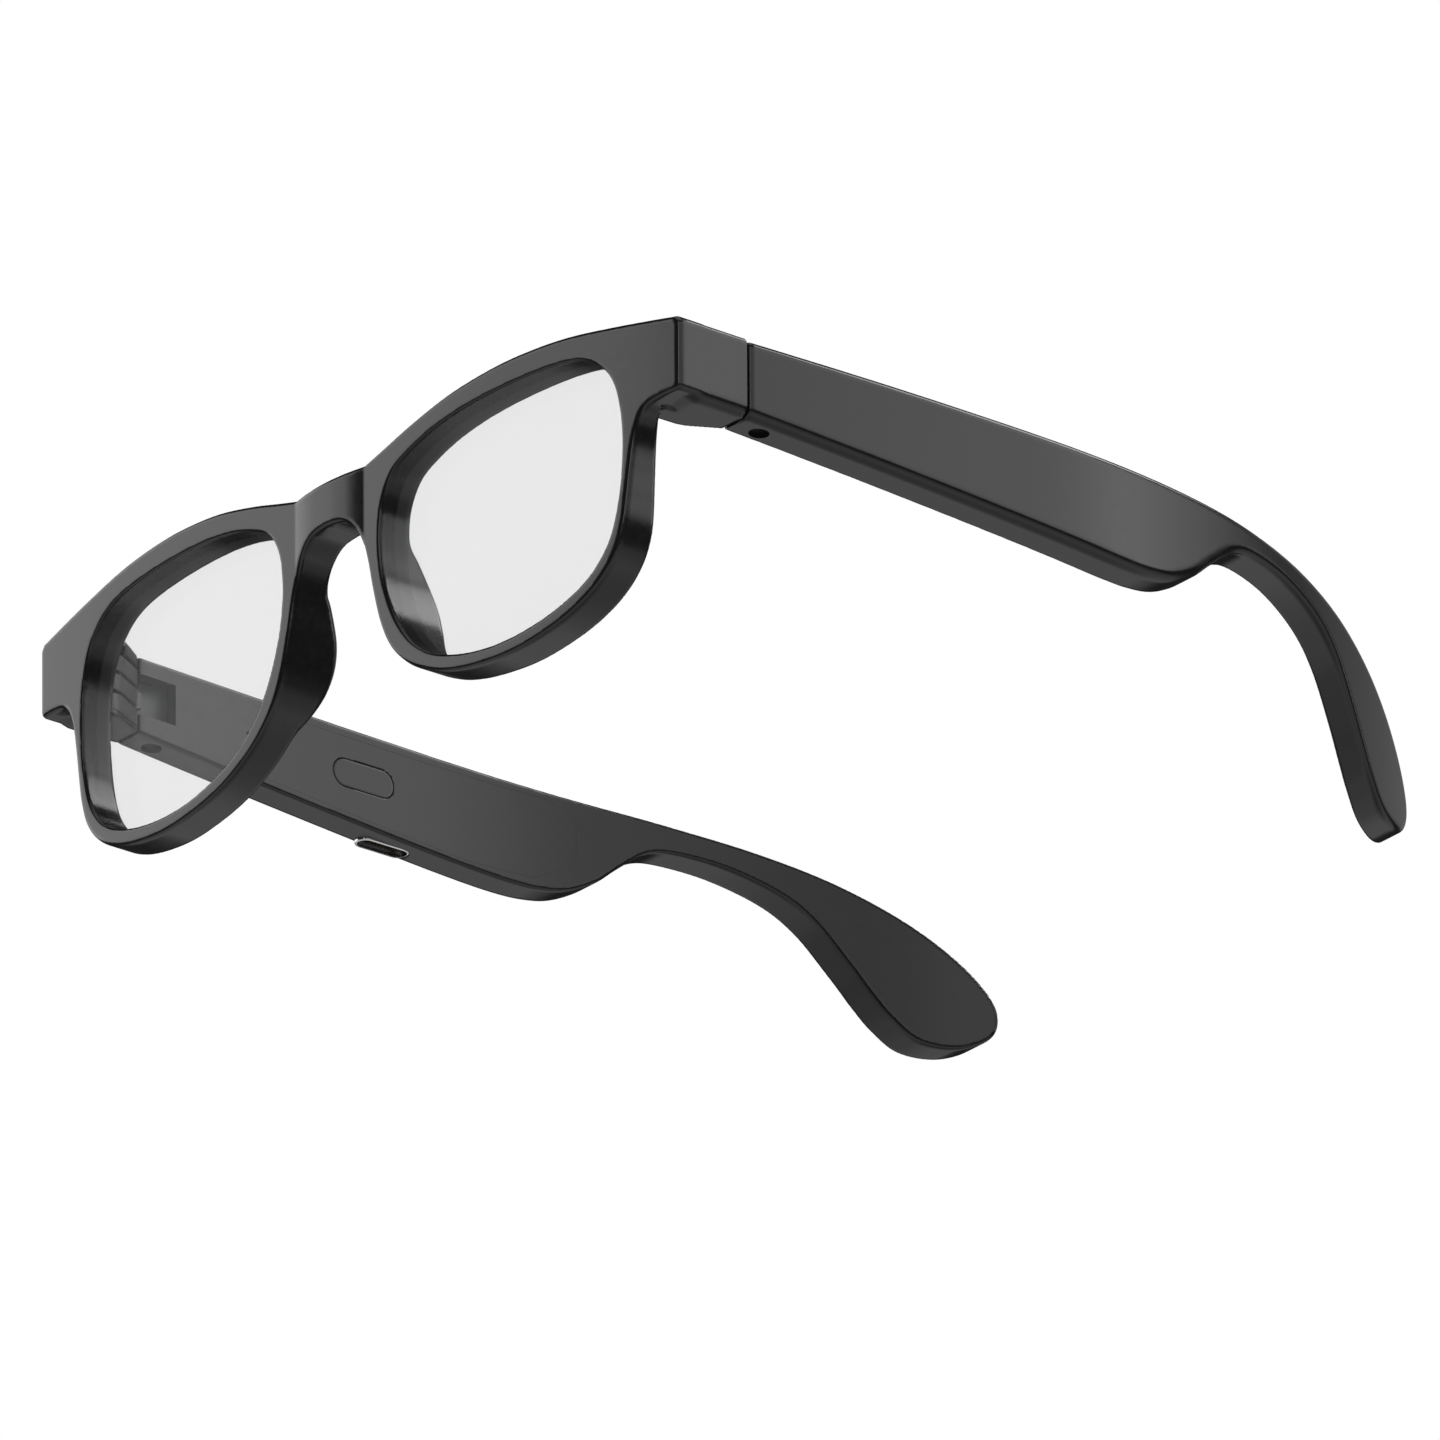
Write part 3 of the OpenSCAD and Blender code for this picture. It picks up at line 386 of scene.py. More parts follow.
def surface_net(shape, low, high, step, rounds=3):
    """Quads on the surface where the signed distance is nothing: vertices and faces."""
    axes = [np.arange(a, b + step, step) for a, b in zip(low, high)]
    grid = shape(*np.ix_(*axes))
    n = np.array(grid.shape)
    spots, cells, quads_at, flips = [], [], [], []
    for ax in range(3):
        u, v = (ax + 1) % 3, (ax + 2) % 3
        a = np.take(grid, range(0, n[ax] - 1), ax)
        b = np.take(grid, range(1, n[ax]), ax)
        at = np.argwhere((a < 0) != (b < 0))
        fa, fb = a[tuple(at.T)], b[tuple(at.T)]
        spot = at.astype(float)
        spot[:, ax] += fa / (fa - fb)
        ring = []
        for du, dv in ((-1, -1), (0, -1), (0, 0), (-1, 0)):
            cell = at.copy()
            cell[:, u] += du
            cell[:, v] += dv
            ring.append(np.ravel_multi_index(tuple(cell.T), tuple(n)))
            spots.append(spot)
            cells.append(ring[-1])
        quads_at.append(np.stack(ring, -1))
        flips.append(fa > 0)
    cell = np.concatenate(cells)
    spot = np.concatenate(spots)
    names, inverse = np.unique(cell, return_inverse=True)
    share = np.bincount(inverse)
    points = np.stack([np.bincount(inverse, spot[:, k]) / share for k in range(3)], -1)
    points = np.array([a[0] for a in axes]) + points * step
    quads = np.searchsorted(names, np.concatenate(quads_at))
    flip = np.concatenate(flips)
    quads[flip] = quads[flip][:, ::-1]
    ends = np.concatenate([quads, np.roll(quads, -1, 1)], 1).reshape(-1, 2, 4)
    a, b = ends[:, 0].ravel(), ends[:, 1].ravel()
    degree = np.bincount(a, minlength=len(points)) + np.bincount(b, minlength=len(points))
    points = on_surface(shape, points, 2)
    for _ in range(rounds):
        middle = np.stack([(np.bincount(a, points[b, k], len(points))
                            + np.bincount(b, points[a, k], len(points))) / degree
                           for k in range(3)], -1)
        points = on_surface(shape, points + 0.5 * (middle - points), 2)
    return points, quads


def on_surface(shape, points, times):
    """Moves points along the gradient on to the surface."""
    h = 0.01
    for _ in range(times):
        x, y, z = points.T
        f = shape(x, y, z)
        g = np.stack([shape(x + h, y, z) - shape(x - h, y, z), shape(x, y + h, z) - shape(x, y - h, z),
                      shape(x, y, z + h) - shape(x, y, z - h)], -1) / (2 * h)
        move = (f / np.maximum((g * g).sum(-1), 0.3))[:, None] * g
        size = np.linalg.norm(move, axis=1, keepdims=True)
        points = points - move * np.minimum(1, 0.3 / np.maximum(size, 1e-9))
    return points


def new_object(name, points, faces):
    """Mesh object in the scene, still in the drawing's millimetres."""
    mesh = bpy.data.meshes.new(name)
    mesh.from_pydata(np.asarray(points).tolist(), [], [list(map(int, f)) for f in faces])
    mesh.update()
    obj = bpy.data.objects.new(name, mesh)
    bpy.context.scene.collection.objects.link(obj)
    return obj


def mirrored(name, points, faces):
    """The same for the wearer's right, from points of the left."""
    return new_object(name, points * [-1, 1, 1], faces[:, ::-1])


def loft(rings, name="tool"):
    """Closed solid through rings of points, with a face across each end."""
    n = len(rings[0])
    faces = [list(range(n))[::-1], [len(rings) * n - n + k for k in range(n)]]
    for r in range(len(rings) - 1):
        for k in range(n):
            m = (k + 1) % n
            faces.append([r * n + k, r * n + m, r * n + n + m, r * n + n + k])
    obj = new_object(name, np.concatenate(rings), faces)
    edit = bmesh.new()
    edit.from_mesh(obj.data)
    bmesh.ops.recalc_face_normals(edit, faces=edit.faces)
    edit.to_mesh(obj.data)
    edit.free()
    return obj


def ring(outline, axis, at):
    """A flat outline set at a height along axis 0, 1 or 2. Its two columns are the other axes."""
    return np.insert(np.asarray(outline, float), axis, at, 1)


def round_edges(obj, radius, chosen):
    """Rounds the edges for which chosen(edge) holds."""
    edit = bmesh.new()
    edit.from_mesh(obj.data)
    edges = [e for e in edit.edges if chosen(e)]
    bmesh.ops.bevel(edit, geom=edges, offset=radius, segments=3, profile=0.5, affect="EDGES")
    edit.to_mesh(obj.data)
    edit.free()


def prism(outline, axis, low, high, edge=0.0, name="tool"):
    """Extruded outline, with the edges round both ends rounded."""
    obj = loft([ring(outline, axis, low), ring(outline, axis, high)], name)
    if edge:
        round_edges(obj, edge, lambda e: abs(e.verts[0].co[axis] - e.verts[1].co[axis]) < 1e-6)
    return obj


def box(low, high, edge=0.0, name="tool"):
    """Block between two corners, with all its edges rounded."""
    obj = prism([[low[0], low[1]], [high[0], low[1]], [high[0], high[1]], [low[0], high[1]]], 2,
                low[2], high[2], 0, name)
    if edge:
        round_edges(obj, edge, lambda e: True)
    return obj


def drill(axis, cu, cv, low, high, d, steps=40):
    """Round bar of diameter d along an axis."""
    return prism(arc(cu, cv, d / 2, 0, 360 - 360 / steps, steps - 1), axis, low, high)


def combine(obj, tool, how="DIFFERENCE"):
    """Boolean of obj with the tool, which is then deleted."""
    for solver in ("MANIFOLD", "EXACT"):
        mod = obj.modifiers.new("combine", "BOOLEAN")
        mod.object, mod.operation, mod.solver = tool, how, solver
        bpy.context.view_layer.update()
        made = bpy.data.meshes.new_from_object(obj.evaluated_get(bpy.context.evaluated_depsgraph_get()))
        obj.modifiers.clear()
        if len(made.polygons) > 3 and not same_mesh(made, obj.data):
            break
    obj.data = made
    bpy.data.objects.remove(tool)
    return obj


def same_mesh(a, b):
    """Whether a boolean left the mesh as it was, which is how a failed one shows."""
    return len(a.vertices) == len(b.vertices) and len(a.polygons) == len(b.polygons)


def joined(objects, name):
    """One object that holds all their meshes. The objects are then deleted."""
    edit = bmesh.new()
    for obj in objects:
        edit.from_mesh(obj.data)
        bpy.data.objects.remove(obj)
    made = new_object(name, [[0, 0, 0]], [])
    edit.to_mesh(made.data)
    edit.free()
    return made


def copy_of(obj, name):
    """Second object with its own copy of the mesh."""
    new = obj.copy()
    new.data = obj.data.copy()
    new.name = name
    bpy.context.scene.collection.objects.link(new)
    return new


def side_of(sign, obj):
    """Turns a tool made for the wearer's left over to the side given by sign."""
    if sign < 0:
        edit = bmesh.new()
        edit.from_mesh(obj.data)
        bmesh.ops.scale(edit, vec=(-1, 1, 1), verts=edit.verts)
        bmesh.ops.reverse_faces(edit, faces=edit.faces)
        edit.to_mesh(obj.data)
        edit.free()
    return obj


def band(d0, d1):
    """Upright sheet that follows a temple between two depths below its outer face."""
    y = np.concatenate([np.linspace(TEMPLE_Y - 2, BOW_Y, 16)[:-1], np.linspace(BOW_Y, BACK_Y + 1, 40)])
    edge = np.concatenate([np.stack([temple_x(y) - d0, y], -1),
                           np.stack([temple_x(y) - d1, y], -1)[::-1]])
    return prism(edge, 2, 0, 45)


def across(outline, d0, d1):
    """What an outline seen from the side cuts out of a temple between two depths."""
    return combine(prism(outline, 0, *THROUGH), band(d0, d1), "INTERSECT")


def cover_outline(g):
    """Outline of the inner cover, grown by g at its long edges and ends."""
    return rounded([[BAY_Y0 - g, 28.9 - g, 1.2], [BAY_Y0 - g, 38.5 + g, 1.2], [BAY_Y1 - 5, 37.5 + g, 3],
                    [BAY_Y1 + g, 35.5, 2.5], [BAY_Y1 + g, 28.5, 3], [BAY_Y1 - 7, 24.9 - g, 4],
                    [BAY_Y1 - 18, 24.7 - g, 4]], 8)


BAY = rounded([[BAY_Y0 + 5, 29.4, 0.8], [BAY_Y0 + 5, 37.5, 0.8], [BAY_Y1 - 5.4, 36.6, 2.4],
               [BAY_Y1 - 0.9, 34.9, 1.9], [BAY_Y1 - 0.9, 29, 2.4], [BAY_Y1 - 7.4, 25.8, 3.2],
               [BAY_Y1 - 18, 25.6, 3.2]], 4)


def finish_piece(obj, body, finish, replaced=(), sharp=50):
    """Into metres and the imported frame, shaded smooth, riding on its body."""
    mesh = obj.data
    co = np.empty(len(mesh.vertices) * 3)
    mesh.vertices.foreach_get("co", co)
    co = co.reshape(-1, 3) * MM + np.array(ORIGIN)
    mesh.vertices.foreach_set("co", co.ravel())
    mesh.polygons.foreach_set("use_smooth", np.ones(len(mesh.polygons), bool))
    mesh.set_sharp_from_angle(angle=math.radians(sharp))
    mesh.update()
    mesh.materials.clear()
    mesh.materials.append(finish)
    if replaced:
        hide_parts(*replaced)
    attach(obj, body)


# ---------- Finishes ----------

def finish_nodes(name):
    """New material with its node tree, its shader and the object's own coordinates."""
    mat = bpy.data.materials.new(name)
    mat.use_nodes = True
    tree = mat.node_tree
    shader = tree.nodes["Principled BSDF"]
    place = tree.nodes.new("ShaderNodeTexCoord")
    return mat, tree, shader, place.outputs["Object"]


def noise(tree, place, scale, detail=3.0, stretch=None):
    """Noise over the surface, drawn out along the axes by stretch."""
    if stretch:
        mapping = tree.nodes.new("ShaderNodeMapping")
        mapping.inputs["Scale"].default_value = stretch
        tree.links.new(place, mapping.inputs["Vector"])
        place = mapping.outputs["Vector"]
    node = tree.nodes.new("ShaderNodeTexNoise")
    node.inputs["Scale"].default_value = scale
    node.inputs["Detail"].default_value = detail
    tree.links.new(place, node.inputs["Vector"])
    return node.outputs["Fac"]


def ramp(tree, value, stops):
    """Colour by value, from stops of (value, colour)."""
    node = tree.nodes.new("ShaderNodeValToRGB")
    ends = node.color_ramp.elements
    while len(ends) < len(stops):
        ends.new(0.5)
    for e, (at, c) in zip(ends, stops):
        e.position = at
        e.color = (*c, 1)
    tree.links.new(value, node.inputs["Fac"])
    return node.outputs["Color"]


def span(tree, value, low, high, source=(0.3, 0.7)):
    """Value carried from the source range to the one between low and high."""
    node = tree.nodes.new("ShaderNodeMapRange")
    node.inputs["From Min"].default_value, node.inputs["From Max"].default_value = source
    node.inputs["To Min"].default_value, node.inputs["To Max"].default_value = low, high
    tree.links.new(value, node.inputs["Value"])
    return node.outputs["Result"]


def bump(tree, shader, value, depth):
    """Relief of that depth in metres on the shader."""
    node = tree.nodes.new("ShaderNodeBump")
    node.inputs["Strength"].default_value = 1.0
    node.inputs["Distance"].default_value = depth
    tree.links.new(value, node.inputs["Height"])
    tree.links.new(node.outputs["Normal"], shader.inputs["Normal"])


def mix_shaders(tree, factor, first, second):
    """The first shader where the factor is 0 and the second where it is 1."""
    node = tree.nodes.new("ShaderNodeMixShader")
    tree.links.new(factor, node.inputs["Fac"])
    tree.links.new(first, node.inputs[1])
    tree.links.new(second, node.inputs[2])
    return node.outputs["Shader"]


def surface(name, low, high, rough, scale=900, grain=6000, depth=2e-6, metal=0.0, stretch=None,
            specular=0.5):
    """Moulded, cast or rolled surface: slow colour drift, roughness patches and fine relief."""
    mat, tree, shader, place = finish_nodes(name)
    slow = noise(tree, place, scale, 4, stretch)
    fine = noise(tree, place, grain, 2, stretch)
    tree.links.new(ramp(tree, slow, [(0.3, low), (0.7, high)]), shader.inputs["Base Color"])
    tree.links.new(span(tree, slow, *rough), shader.inputs["Roughness"])
    bump(tree, shader, fine, depth)
    shader.inputs["Metallic"].default_value = metal
    shader.inputs["Specular IOR Level"].default_value = specular
    return mat


def glass(name):
    """Clear plastic with a very faint grey."""
    mat, tree, shader, place = finish_nodes(name)
    haze = noise(tree, place, 60, 5)
    tree.links.new(ramp(tree, haze, [(0.3, (0.40, 0.405, 0.41)), (0.7, (0.43, 0.435, 0.44))]),
                   shader.inputs["Base Color"])
    tree.links.new(span(tree, haze, 0.06, 0.1), shader.inputs["Roughness"])
    shader.inputs["Specular IOR Level"].default_value = 0.4
    shader.inputs["Alpha"].default_value = 0.13
    return mat


def laminate(name):
    """Green solder mask with darker copper traces under it."""
    mat, tree, shader, place = finish_nodes(name)
    brick = tree.nodes.new("ShaderNodeTexBrick")
    brick.inputs["Scale"].default_value = 900
    brick.inputs["Mortar Size"].default_value = 0.09
    brick.inputs["Color1"].default_value = (0.008, 0.11, 0.04, 1)
    brick.inputs["Color2"].default_value = (0.01, 0.14, 0.05, 1)
    brick.inputs["Mortar"].default_value = (0.05, 0.26, 0.09, 1)
    turned = tree.nodes.new("ShaderNodeMapping")
    turned.inputs["Rotation"].default_value = (0, math.radians(90), 0)
    tree.links.new(place, turned.inputs["Vector"])
    tree.links.new(turned.outputs["Vector"], brick.inputs["Vector"])
    tree.links.new(brick.outputs["Color"], shader.inputs["Base Color"])
    tree.links.new(span(tree, noise(tree, place, 1500), 0.3, 0.45), shader.inputs["Roughness"])
    bump(tree, shader, brick.outputs["Fac"], 4e-6)
    return mat


BLACK = surface("black_satin_plastic", (0.011, 0.011, 0.0115), (0.014, 0.014, 0.0145), (0.15, 0.19),
                depth=5e-7)
BUTTON_BLACK = surface("button_plastic", (0.011, 0.011, 0.0115), (0.015, 0.015, 0.0155), (0.16, 0.2),
                       depth=5e-7)
GLASS = glass("lens_glass")
FINISH = {
    "steel": surface("browned_steel", (0.07, 0.07, 0.072), (0.12, 0.12, 0.123), (0.25, 0.36), 1500, 9000,
                     1e-6, 1.0, (1, 1, 6)),
    "bright_metal": surface("bright_metal", (0.72, 0.72, 0.73), (0.84, 0.84, 0.85), (0.14, 0.24), 1200,
                            8000, 1e-6, 1.0, (1, 1, 5)),
    "hinge_metal": surface("blackened_metal", (0.075, 0.075, 0.076), (0.1, 0.1, 0.102), (0.3, 0.38),
                           1100, 7000, 1e-6, 0.3),
    "polyimide_film": surface("polyimide_film", (0.36, 0.13, 0.02), (0.48, 0.2, 0.035), (0.25, 0.4),
                              700, 3000, 4e-6),
    "board_laminate": laminate("board_laminate"),
    "chip_plastic": surface("chip_plastic", (0.018, 0.018, 0.02), (0.04, 0.04, 0.043), (0.45, 0.6),
                            2500, 9000, 3e-6),
    "battery_pouch": surface("battery_pouch", (0.42, 0.42, 0.44), (0.56, 0.56, 0.58), (0.28, 0.45), 260,
                             900, 2.5e-5, 0.8),
    "speaker_case": surface("speaker_case", (0.03, 0.03, 0.032), (0.06, 0.06, 0.063), (0.4, 0.55), 900,
                            5000, 4e-6),
    "port_mesh": surface("port_mesh", (0.004, 0.004, 0.004), (0.009, 0.009, 0.009), (0.6, 0.75), 1500,
                         8000, 3e-6, specular=0.15),
    "connector_plastic": surface("connector_plastic", (0.02, 0.02, 0.02), (0.045, 0.045, 0.045),
                                 (0.4, 0.55), 1800, 8000, 2e-6),
    "gold": surface("contact_gold", (0.75, 0.5, 0.18), (0.85, 0.6, 0.25), (0.2, 0.3), 1500, 8000, 1e-6,
                    1.0),
}

# ---------- Front ----------

points, quads = surface_net(front_shape, *FRONT_GRID, NET)
front_low, front_high = ((np.array(v) - np.array(ORIGIN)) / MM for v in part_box("front_frame"))
front = new_object("front_body", np.clip(points, front_low, front_high), quads)
for s in (1, -1):
    combine(front, side_of(s, box((HINGE_X - GAP, PLATE_Y - PLATE_T - GAP, STACK_Z0 - GAP),
                                  (POCKET_X, SPLIT_Y + 2, EAR_Z))))
    combine(front, side_of(s, drill(2, *AXIS, EAR_Z - 1, TOP_Z + 1, 2.6)))
    combine(front, side_of(s, box(FLEX_LOW, FLEX_HIGH)))
finish_piece(front, "front", BLACK, ["front_frame"])

points, quads = surface_net(lens_shape, *LENS_GRID, LENS_NET, 2)
finish_piece(new_object("lens_glass_left", points, quads), "front", GLASS, ["lens_left"], 40)
finish_piece(mirrored("lens_glass_right", points, quads), "front", GLASS, ["lens_right"], 40)

# ---------- Temples ----------

BUTTON_X = float(temple_x(np.array(BUTTON_Y))) - TEMPLE_T      # inner face of the temple there
PINHOLE_X = float(temple_x(np.array(PINHOLE_Y))) - TEMPLE_T


def hollow_temple(s, shell):
    """Cuts the cover's seat, the bay, the hinge pocket and the sound port."""
    combine(shell, side_of(s, across(cover_outline(0.02), TEMPLE_T - COVER_T - GAP, TEMPLE_T + 3)))
    combine(shell, side_of(s, across(BAY, WALL, TEMPLE_T - COVER_T + 0.1)))
    slot_low, slot_high = LEAF_Z0 - 0.1, LEAF_Z1 + 0.1
    pocket = rounded([[TEMPLE_Y - 3, slot_low, 0.1], [TEMPLE_Y - 3, slot_high, 0.1],
                      [TEMPLE_Y + 6.6, slot_high, 0.15], [TEMPLE_Y + 6.6, slot_low, 0.15]])
    combine(shell, side_of(s, prism(pocket, 0, IN_X - 4, LEAF_X + GAP)))
    combine(shell, side_of(s, box((LEAF_X - 1.05, 23, LEAF_Z0 - GAP),
                                  (LEAF_X + GAP, BAY_Y0 + 6, LEAF_Z1 + GAP))))
    combine(shell, side_of(s, drill(2, PORT_X, PORT_Y, LOW_Z - 2, LOW_Z + PORT_MOUTH, PORT_D)))
    combine(shell, side_of(s, drill(2, PORT_X, PORT_Y, LOW_Z, LOW_Z + 2.2, PORT_D - 0.8)))
    combine(shell, side_of(s, box((PORT_X - 1, PORT_Y, LOW_Z + 0.9),
                                  (PORT_X + 1, BAY_Y0 + 7, LOW_Z + 2.2))))


def cut_controls(s, shell, cover):
    """Cuts the charging port, the button's opening and the microphone's pinhole."""
    shell_port = stadium(USB_Y, USB_X, USB_W + 0.1, USB_H + 0.1)[:, ::-1]
    combine(shell, side_of(s, prism(shell_port, 2, 20, USB_Z1 + GAP)))
    rings = [ring(stadium(BUTTON_Y, BUTTON_Z, BUTTON_L + g, BUTTON_H + g), 0, BUTTON_X + d)
             for d, g in ((-2, 0.3), (-0.01, 0.3), (0.04, 0.2), (0.1, 0.16), (3, 0.16))]
    combine(cover, side_of(s, loft(rings)))
    combine(cover, side_of(s, drill(0, PINHOLE_Y, PINHOLE_Z, 60, 72, PINHOLE_D)))


def sound_mesh(name):
    """Perforated disc behind the sound port."""
    disc = prism(arc(PORT_X, PORT_Y, PORT_D / 2 - GAP, 0, 352.5, 47), 2, LOW_Z + 0.3, LOW_Z + 0.6, 0,
                 name)
    holes = []
    for i in range(-4, 5):
        for j in range(-4, 5):
            u, v = HOLE_PITCH * (i + 0.5 * j), HOLE_PITCH * j * 0.866
            if math.hypot(u, v) < HOLES_R:
                holes.append(drill(2, PORT_X + u, PORT_Y + v, LOW_Z, LOW_Z + 1, HOLE_D, 10))
    return combine(disc, joined(holes, "holes"))


points, quads = surface_net(temple_shape, *TEMPLE_GRID, NET)
for s, side in ((1, "left"), (-1, "right")):
    shell = (new_object if s > 0 else mirrored)("shell_" + side, points, quads)
    cover = copy_of(shell, "cover_" + side)
    lid = across(cover_outline(-0.01), TEMPLE_T - COVER_T, TEMPLE_T + 2)
    combine(cover, side_of(s, lid), "INTERSECT")
    hollow_temple(s, shell)
    if s < 0:
        cut_controls(s, shell, cover)
    body = side + "_temple"
    finish_piece(shell, body, BLACK, [side + "_temple_shell"])
    finish_piece(cover, body, BLACK, [side + "_inner_cover"])
    disc = side_of(s, sound_mesh("sound_mesh_" + side))
    finish_piece(disc, body, FINISH["port_mesh"], [side + "_port_mesh"], 35)

# Near-black disc just inside the microphone's pinhole: painted shade for the hole's dark depth
pinhole_shade_disc = drill(0, PINHOLE_Y, PINHOLE_Z, PINHOLE_X + 0.15, PINHOLE_X + 0.25, PINHOLE_D - 0.02)
pinhole_shade_disc.name = "pinhole_painted_shade"
finish_piece(side_of(-1, pinhole_shade_disc), "right_temple", FINISH["port_mesh"], (), 35)

# ---------- Hinges ----------


def front_hinge(name):
    """Base plate with the lower and upper knuckles, bored for the pivot and two screws."""
    plan = rounded(hinge_corners(POCKET_X - GAP, PLATE_Y - 0.1), 10)
    hinge = box((HINGE_X, PLATE_Y - PLATE_T, STACK_Z0), (POCKET_X - GAP, PLATE_Y, STACK_Z1), 0.1, name)
    for z in (STACK_Z0, STACK_Z0 + 2 * PITCH):
        combine(hinge, prism(plan, 2, z, z + KNUCKLE_H, KNUCKLE_EDGE), "UNION")
    combine(hinge, drill(2, *AXIS, STACK_Z0 - 1, STACK_Z1 + 1, PIVOT_HOLE))
    combine(hinge, drill(2, *AXIS, STACK_Z1 - SEAT_DEPTH, STACK_Z1 + 1, 2.44))
    z = STACK_Z0 + PITCH + KNUCKLE_H / 2
    for step in SCREW_STEPS:
        combine(hinge, drill(1, AXIS[0] + step, z, PLATE_Y - 2, PLATE_Y + 1, SCREW_HOLE))
        combine(hinge, drill(1, AXIS[0] + step, z, PLATE_Y - SEAT_DEPTH, PLATE_Y + 0.5, SCREW_SEAT))
    return hinge


def temple_hinge(name):
    """Middle knuckle, the arm behind it and the leaf in the temple, bored for the pivot and screws."""
    low = STACK_Z0 + PITCH
    plan = rounded(hinge_corners(LEAF_X, PLATE_Y - 0.1), 10)
    leaf = prism(plan, 2, low, low + KNUCKLE_H, KNUCKLE_EDGE, name)
    square = [[LEAF_X + 1, AXIS[1]], [LEAF_X + 1, SPLIT_Y + 1], [HINGE_X - 1, SPLIT_Y + 1],
              [HINGE_X - 1, AXIS[1]]]
    reach = np.concatenate([square, arc(*AXIS, KNUCKLE_R, 180, 360, 36)])
    combine(leaf, prism(reach, 2, STACK_Z0, STACK_Z1), "INTERSECT")
    combine(leaf, box((LEAF_X - 2.8, AXIS[1], low), (LEAF_X, TEMPLE_Y + 0.8, low + KNUCKLE_H), 0.02),
            "UNION")
    combine(leaf, box((LEAF_X - 1, TEMPLE_Y, LEAF_Z0), (LEAF_X, BAY_Y0 + 4.6, LEAF_Z1), 0.08), "UNION")
    combine(leaf, drill(2, *AXIS, STACK_Z0 - 1, STACK_Z1 + 1, 1.68))
    for z in (LEAF_Z0 + 1.5, LEAF_Z1 - 1.5):
        combine(leaf, drill(0, BAY_Y0 + 2.9, z, LEAF_X - 3, LEAF_X + 1, SCREW_HOLE))
        combine(leaf, drill(0, BAY_Y0 + 2.9, z, LEAF_X - 3, LEAF_X - 0.4, SCREW_SEAT))
    return leaf


for s, side in ((1, "left"), (-1, "right")):
    hinge = side_of(s, front_hinge("hinge_front_" + side))
    finish_piece(hinge, "front", FINISH["hinge_metal"], ["front_hinge_" + side], 35)
    leaf = side_of(s, temple_hinge("hinge_temple_" + side))
    finish_piece(leaf, side + "_temple", FINISH["hinge_metal"], [side + "_temple_hinge"], 35)

# ---------- Power button ----------

button = loft([ring(stadium(BUTTON_Y, BUTTON_Z, BUTTON_L - g, BUTTON_H - g), 0, BUTTON_X + d)
               for d, g in ((0.0, 0.7), (0.0, 0.14), (0.02, 0.05), (0.06, 0), (COVER_T + 0.1, 0))],
              "button")
flange = stadium(BUTTON_Y, BUTTON_Z, BUTTON_L + 1.2, BUTTON_H + 1.2)
combine(button, loft([ring(flange, 0, BUTTON_X + d) for d in (COVER_T + 0.02, COVER_T + 0.38)]), "UNION")
stem_end = (ORIGIN.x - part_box("power_button")[0].x) / MM
combine(button, drill(0, BUTTON_Y, STEM_Z, BUTTON_X + 0.4, stem_end, STEM_D), "UNION")
finish_piece(side_of(-1, button), "power_button", BUTTON_BLACK, ["power_button"], 50)

# ---------- Charging port ----------


def usb_outline(less, steps):
    """Outline of the port's shell, less that much in width and height."""
    return stadium(USB_Y, USB_X, USB_W - less, USB_H - less, steps)[:, ::-1]


port = prism(usb_outline(0, 20), 2, USB_Z0 - USB_PROUD, USB_Z1, 0.1, "usb_port")
combine(port, prism(usb_outline(2 * USB_SHEET, 20), 2, USB_Z0 - 1, USB_Z1 - 0.4))
finish_piece(side_of(-1, port), "right_temple", FINISH["bright_metal"], ["usb_c_shell"],
             40)
half_t, half_l = TONGUE_HALF
tongue = box((USB_X - half_t, USB_Y - half_l, USB_Z0 + 0.9), (USB_X + half_t, USB_Y + half_l, USB_Z1 - 1.3),
             0.1, "usb_tongue")
combine(tongue, prism(usb_outline(0.62, 14), 2, USB_Z1 - 1.41, USB_Z1 - 0.4), "UNION")
finish_piece(side_of(-1, tongue), "right_temple", FINISH["connector_plastic"],
             ["usb_c_tongue"], 35)
strips = []
for x in (USB_X - half_t - 0.002, USB_X + half_t + 0.002):
    for k in (*range(-6, 0), *range(1, 7)):
        y = USB_Y + k * CONTACT_PITCH
        strips.append(box((x - 0.02, y - 0.13, USB_Z0 + 1.1), (x + 0.02, y + 0.13, USB_Z1 - 2.2), 0.01))
contacts = joined(strips, "usb_contacts")
finish_piece(side_of(-1, contacts), "right_temple", FINISH["gold"], (), 35)

# ---------- Finishes of the CAD parts that stay ----------

slot_of = {p["node"]: p.get("material_slot") for p in frame["record"]["subparts"]}
for name, obj in NODES.items():
    if obj.hide_render:
        continue
    mat = FINISH.get(slot_of.get(name), FINISH["steel"])
    obj.data.materials.clear()
    obj.data.materials.append(mat)

# ---------- Floor, light and camera ----------

# Pale floor, seen from above only
floor_mat, tree, shader, place = finish_nodes("pale_floor")
tree.links.new(ramp(tree, noise(tree, place, 3), [(0.3, (0.9, 0.9, 0.9)), (0.7, (0.92, 0.92, 0.92))]),
               shader.inputs["Base Color"])
shader.inputs["Roughness"].default_value = 0.9
shader.inputs["Specular IOR Level"].default_value = 0.1
clear = tree.nodes.new("ShaderNodeBsdfTransparent")
facing = tree.nodes.new("ShaderNodeNewGeometry")
one_sided = mix_shaders(tree, facing.outputs["Backfacing"], shader.outputs["BSDF"], clear.outputs["BSDF"])
tree.links.new(one_sided, tree.nodes["Material Output"].inputs["Surface"])
FLOOR_HALF, FLOOR_Z = 30, -2e-4
floor = new_object("floor", [[x * FLOOR_HALF, y * FLOOR_HALF, FLOOR_Z]
                             for x, y in ((-1, -1), (1, -1), (1, 1), (-1, 1))], [[0, 1, 2, 3]])
floor.data.materials.append(floor_mat)
floor.visible_diffuse = floor.visible_glossy = floor.visible_shadow = False

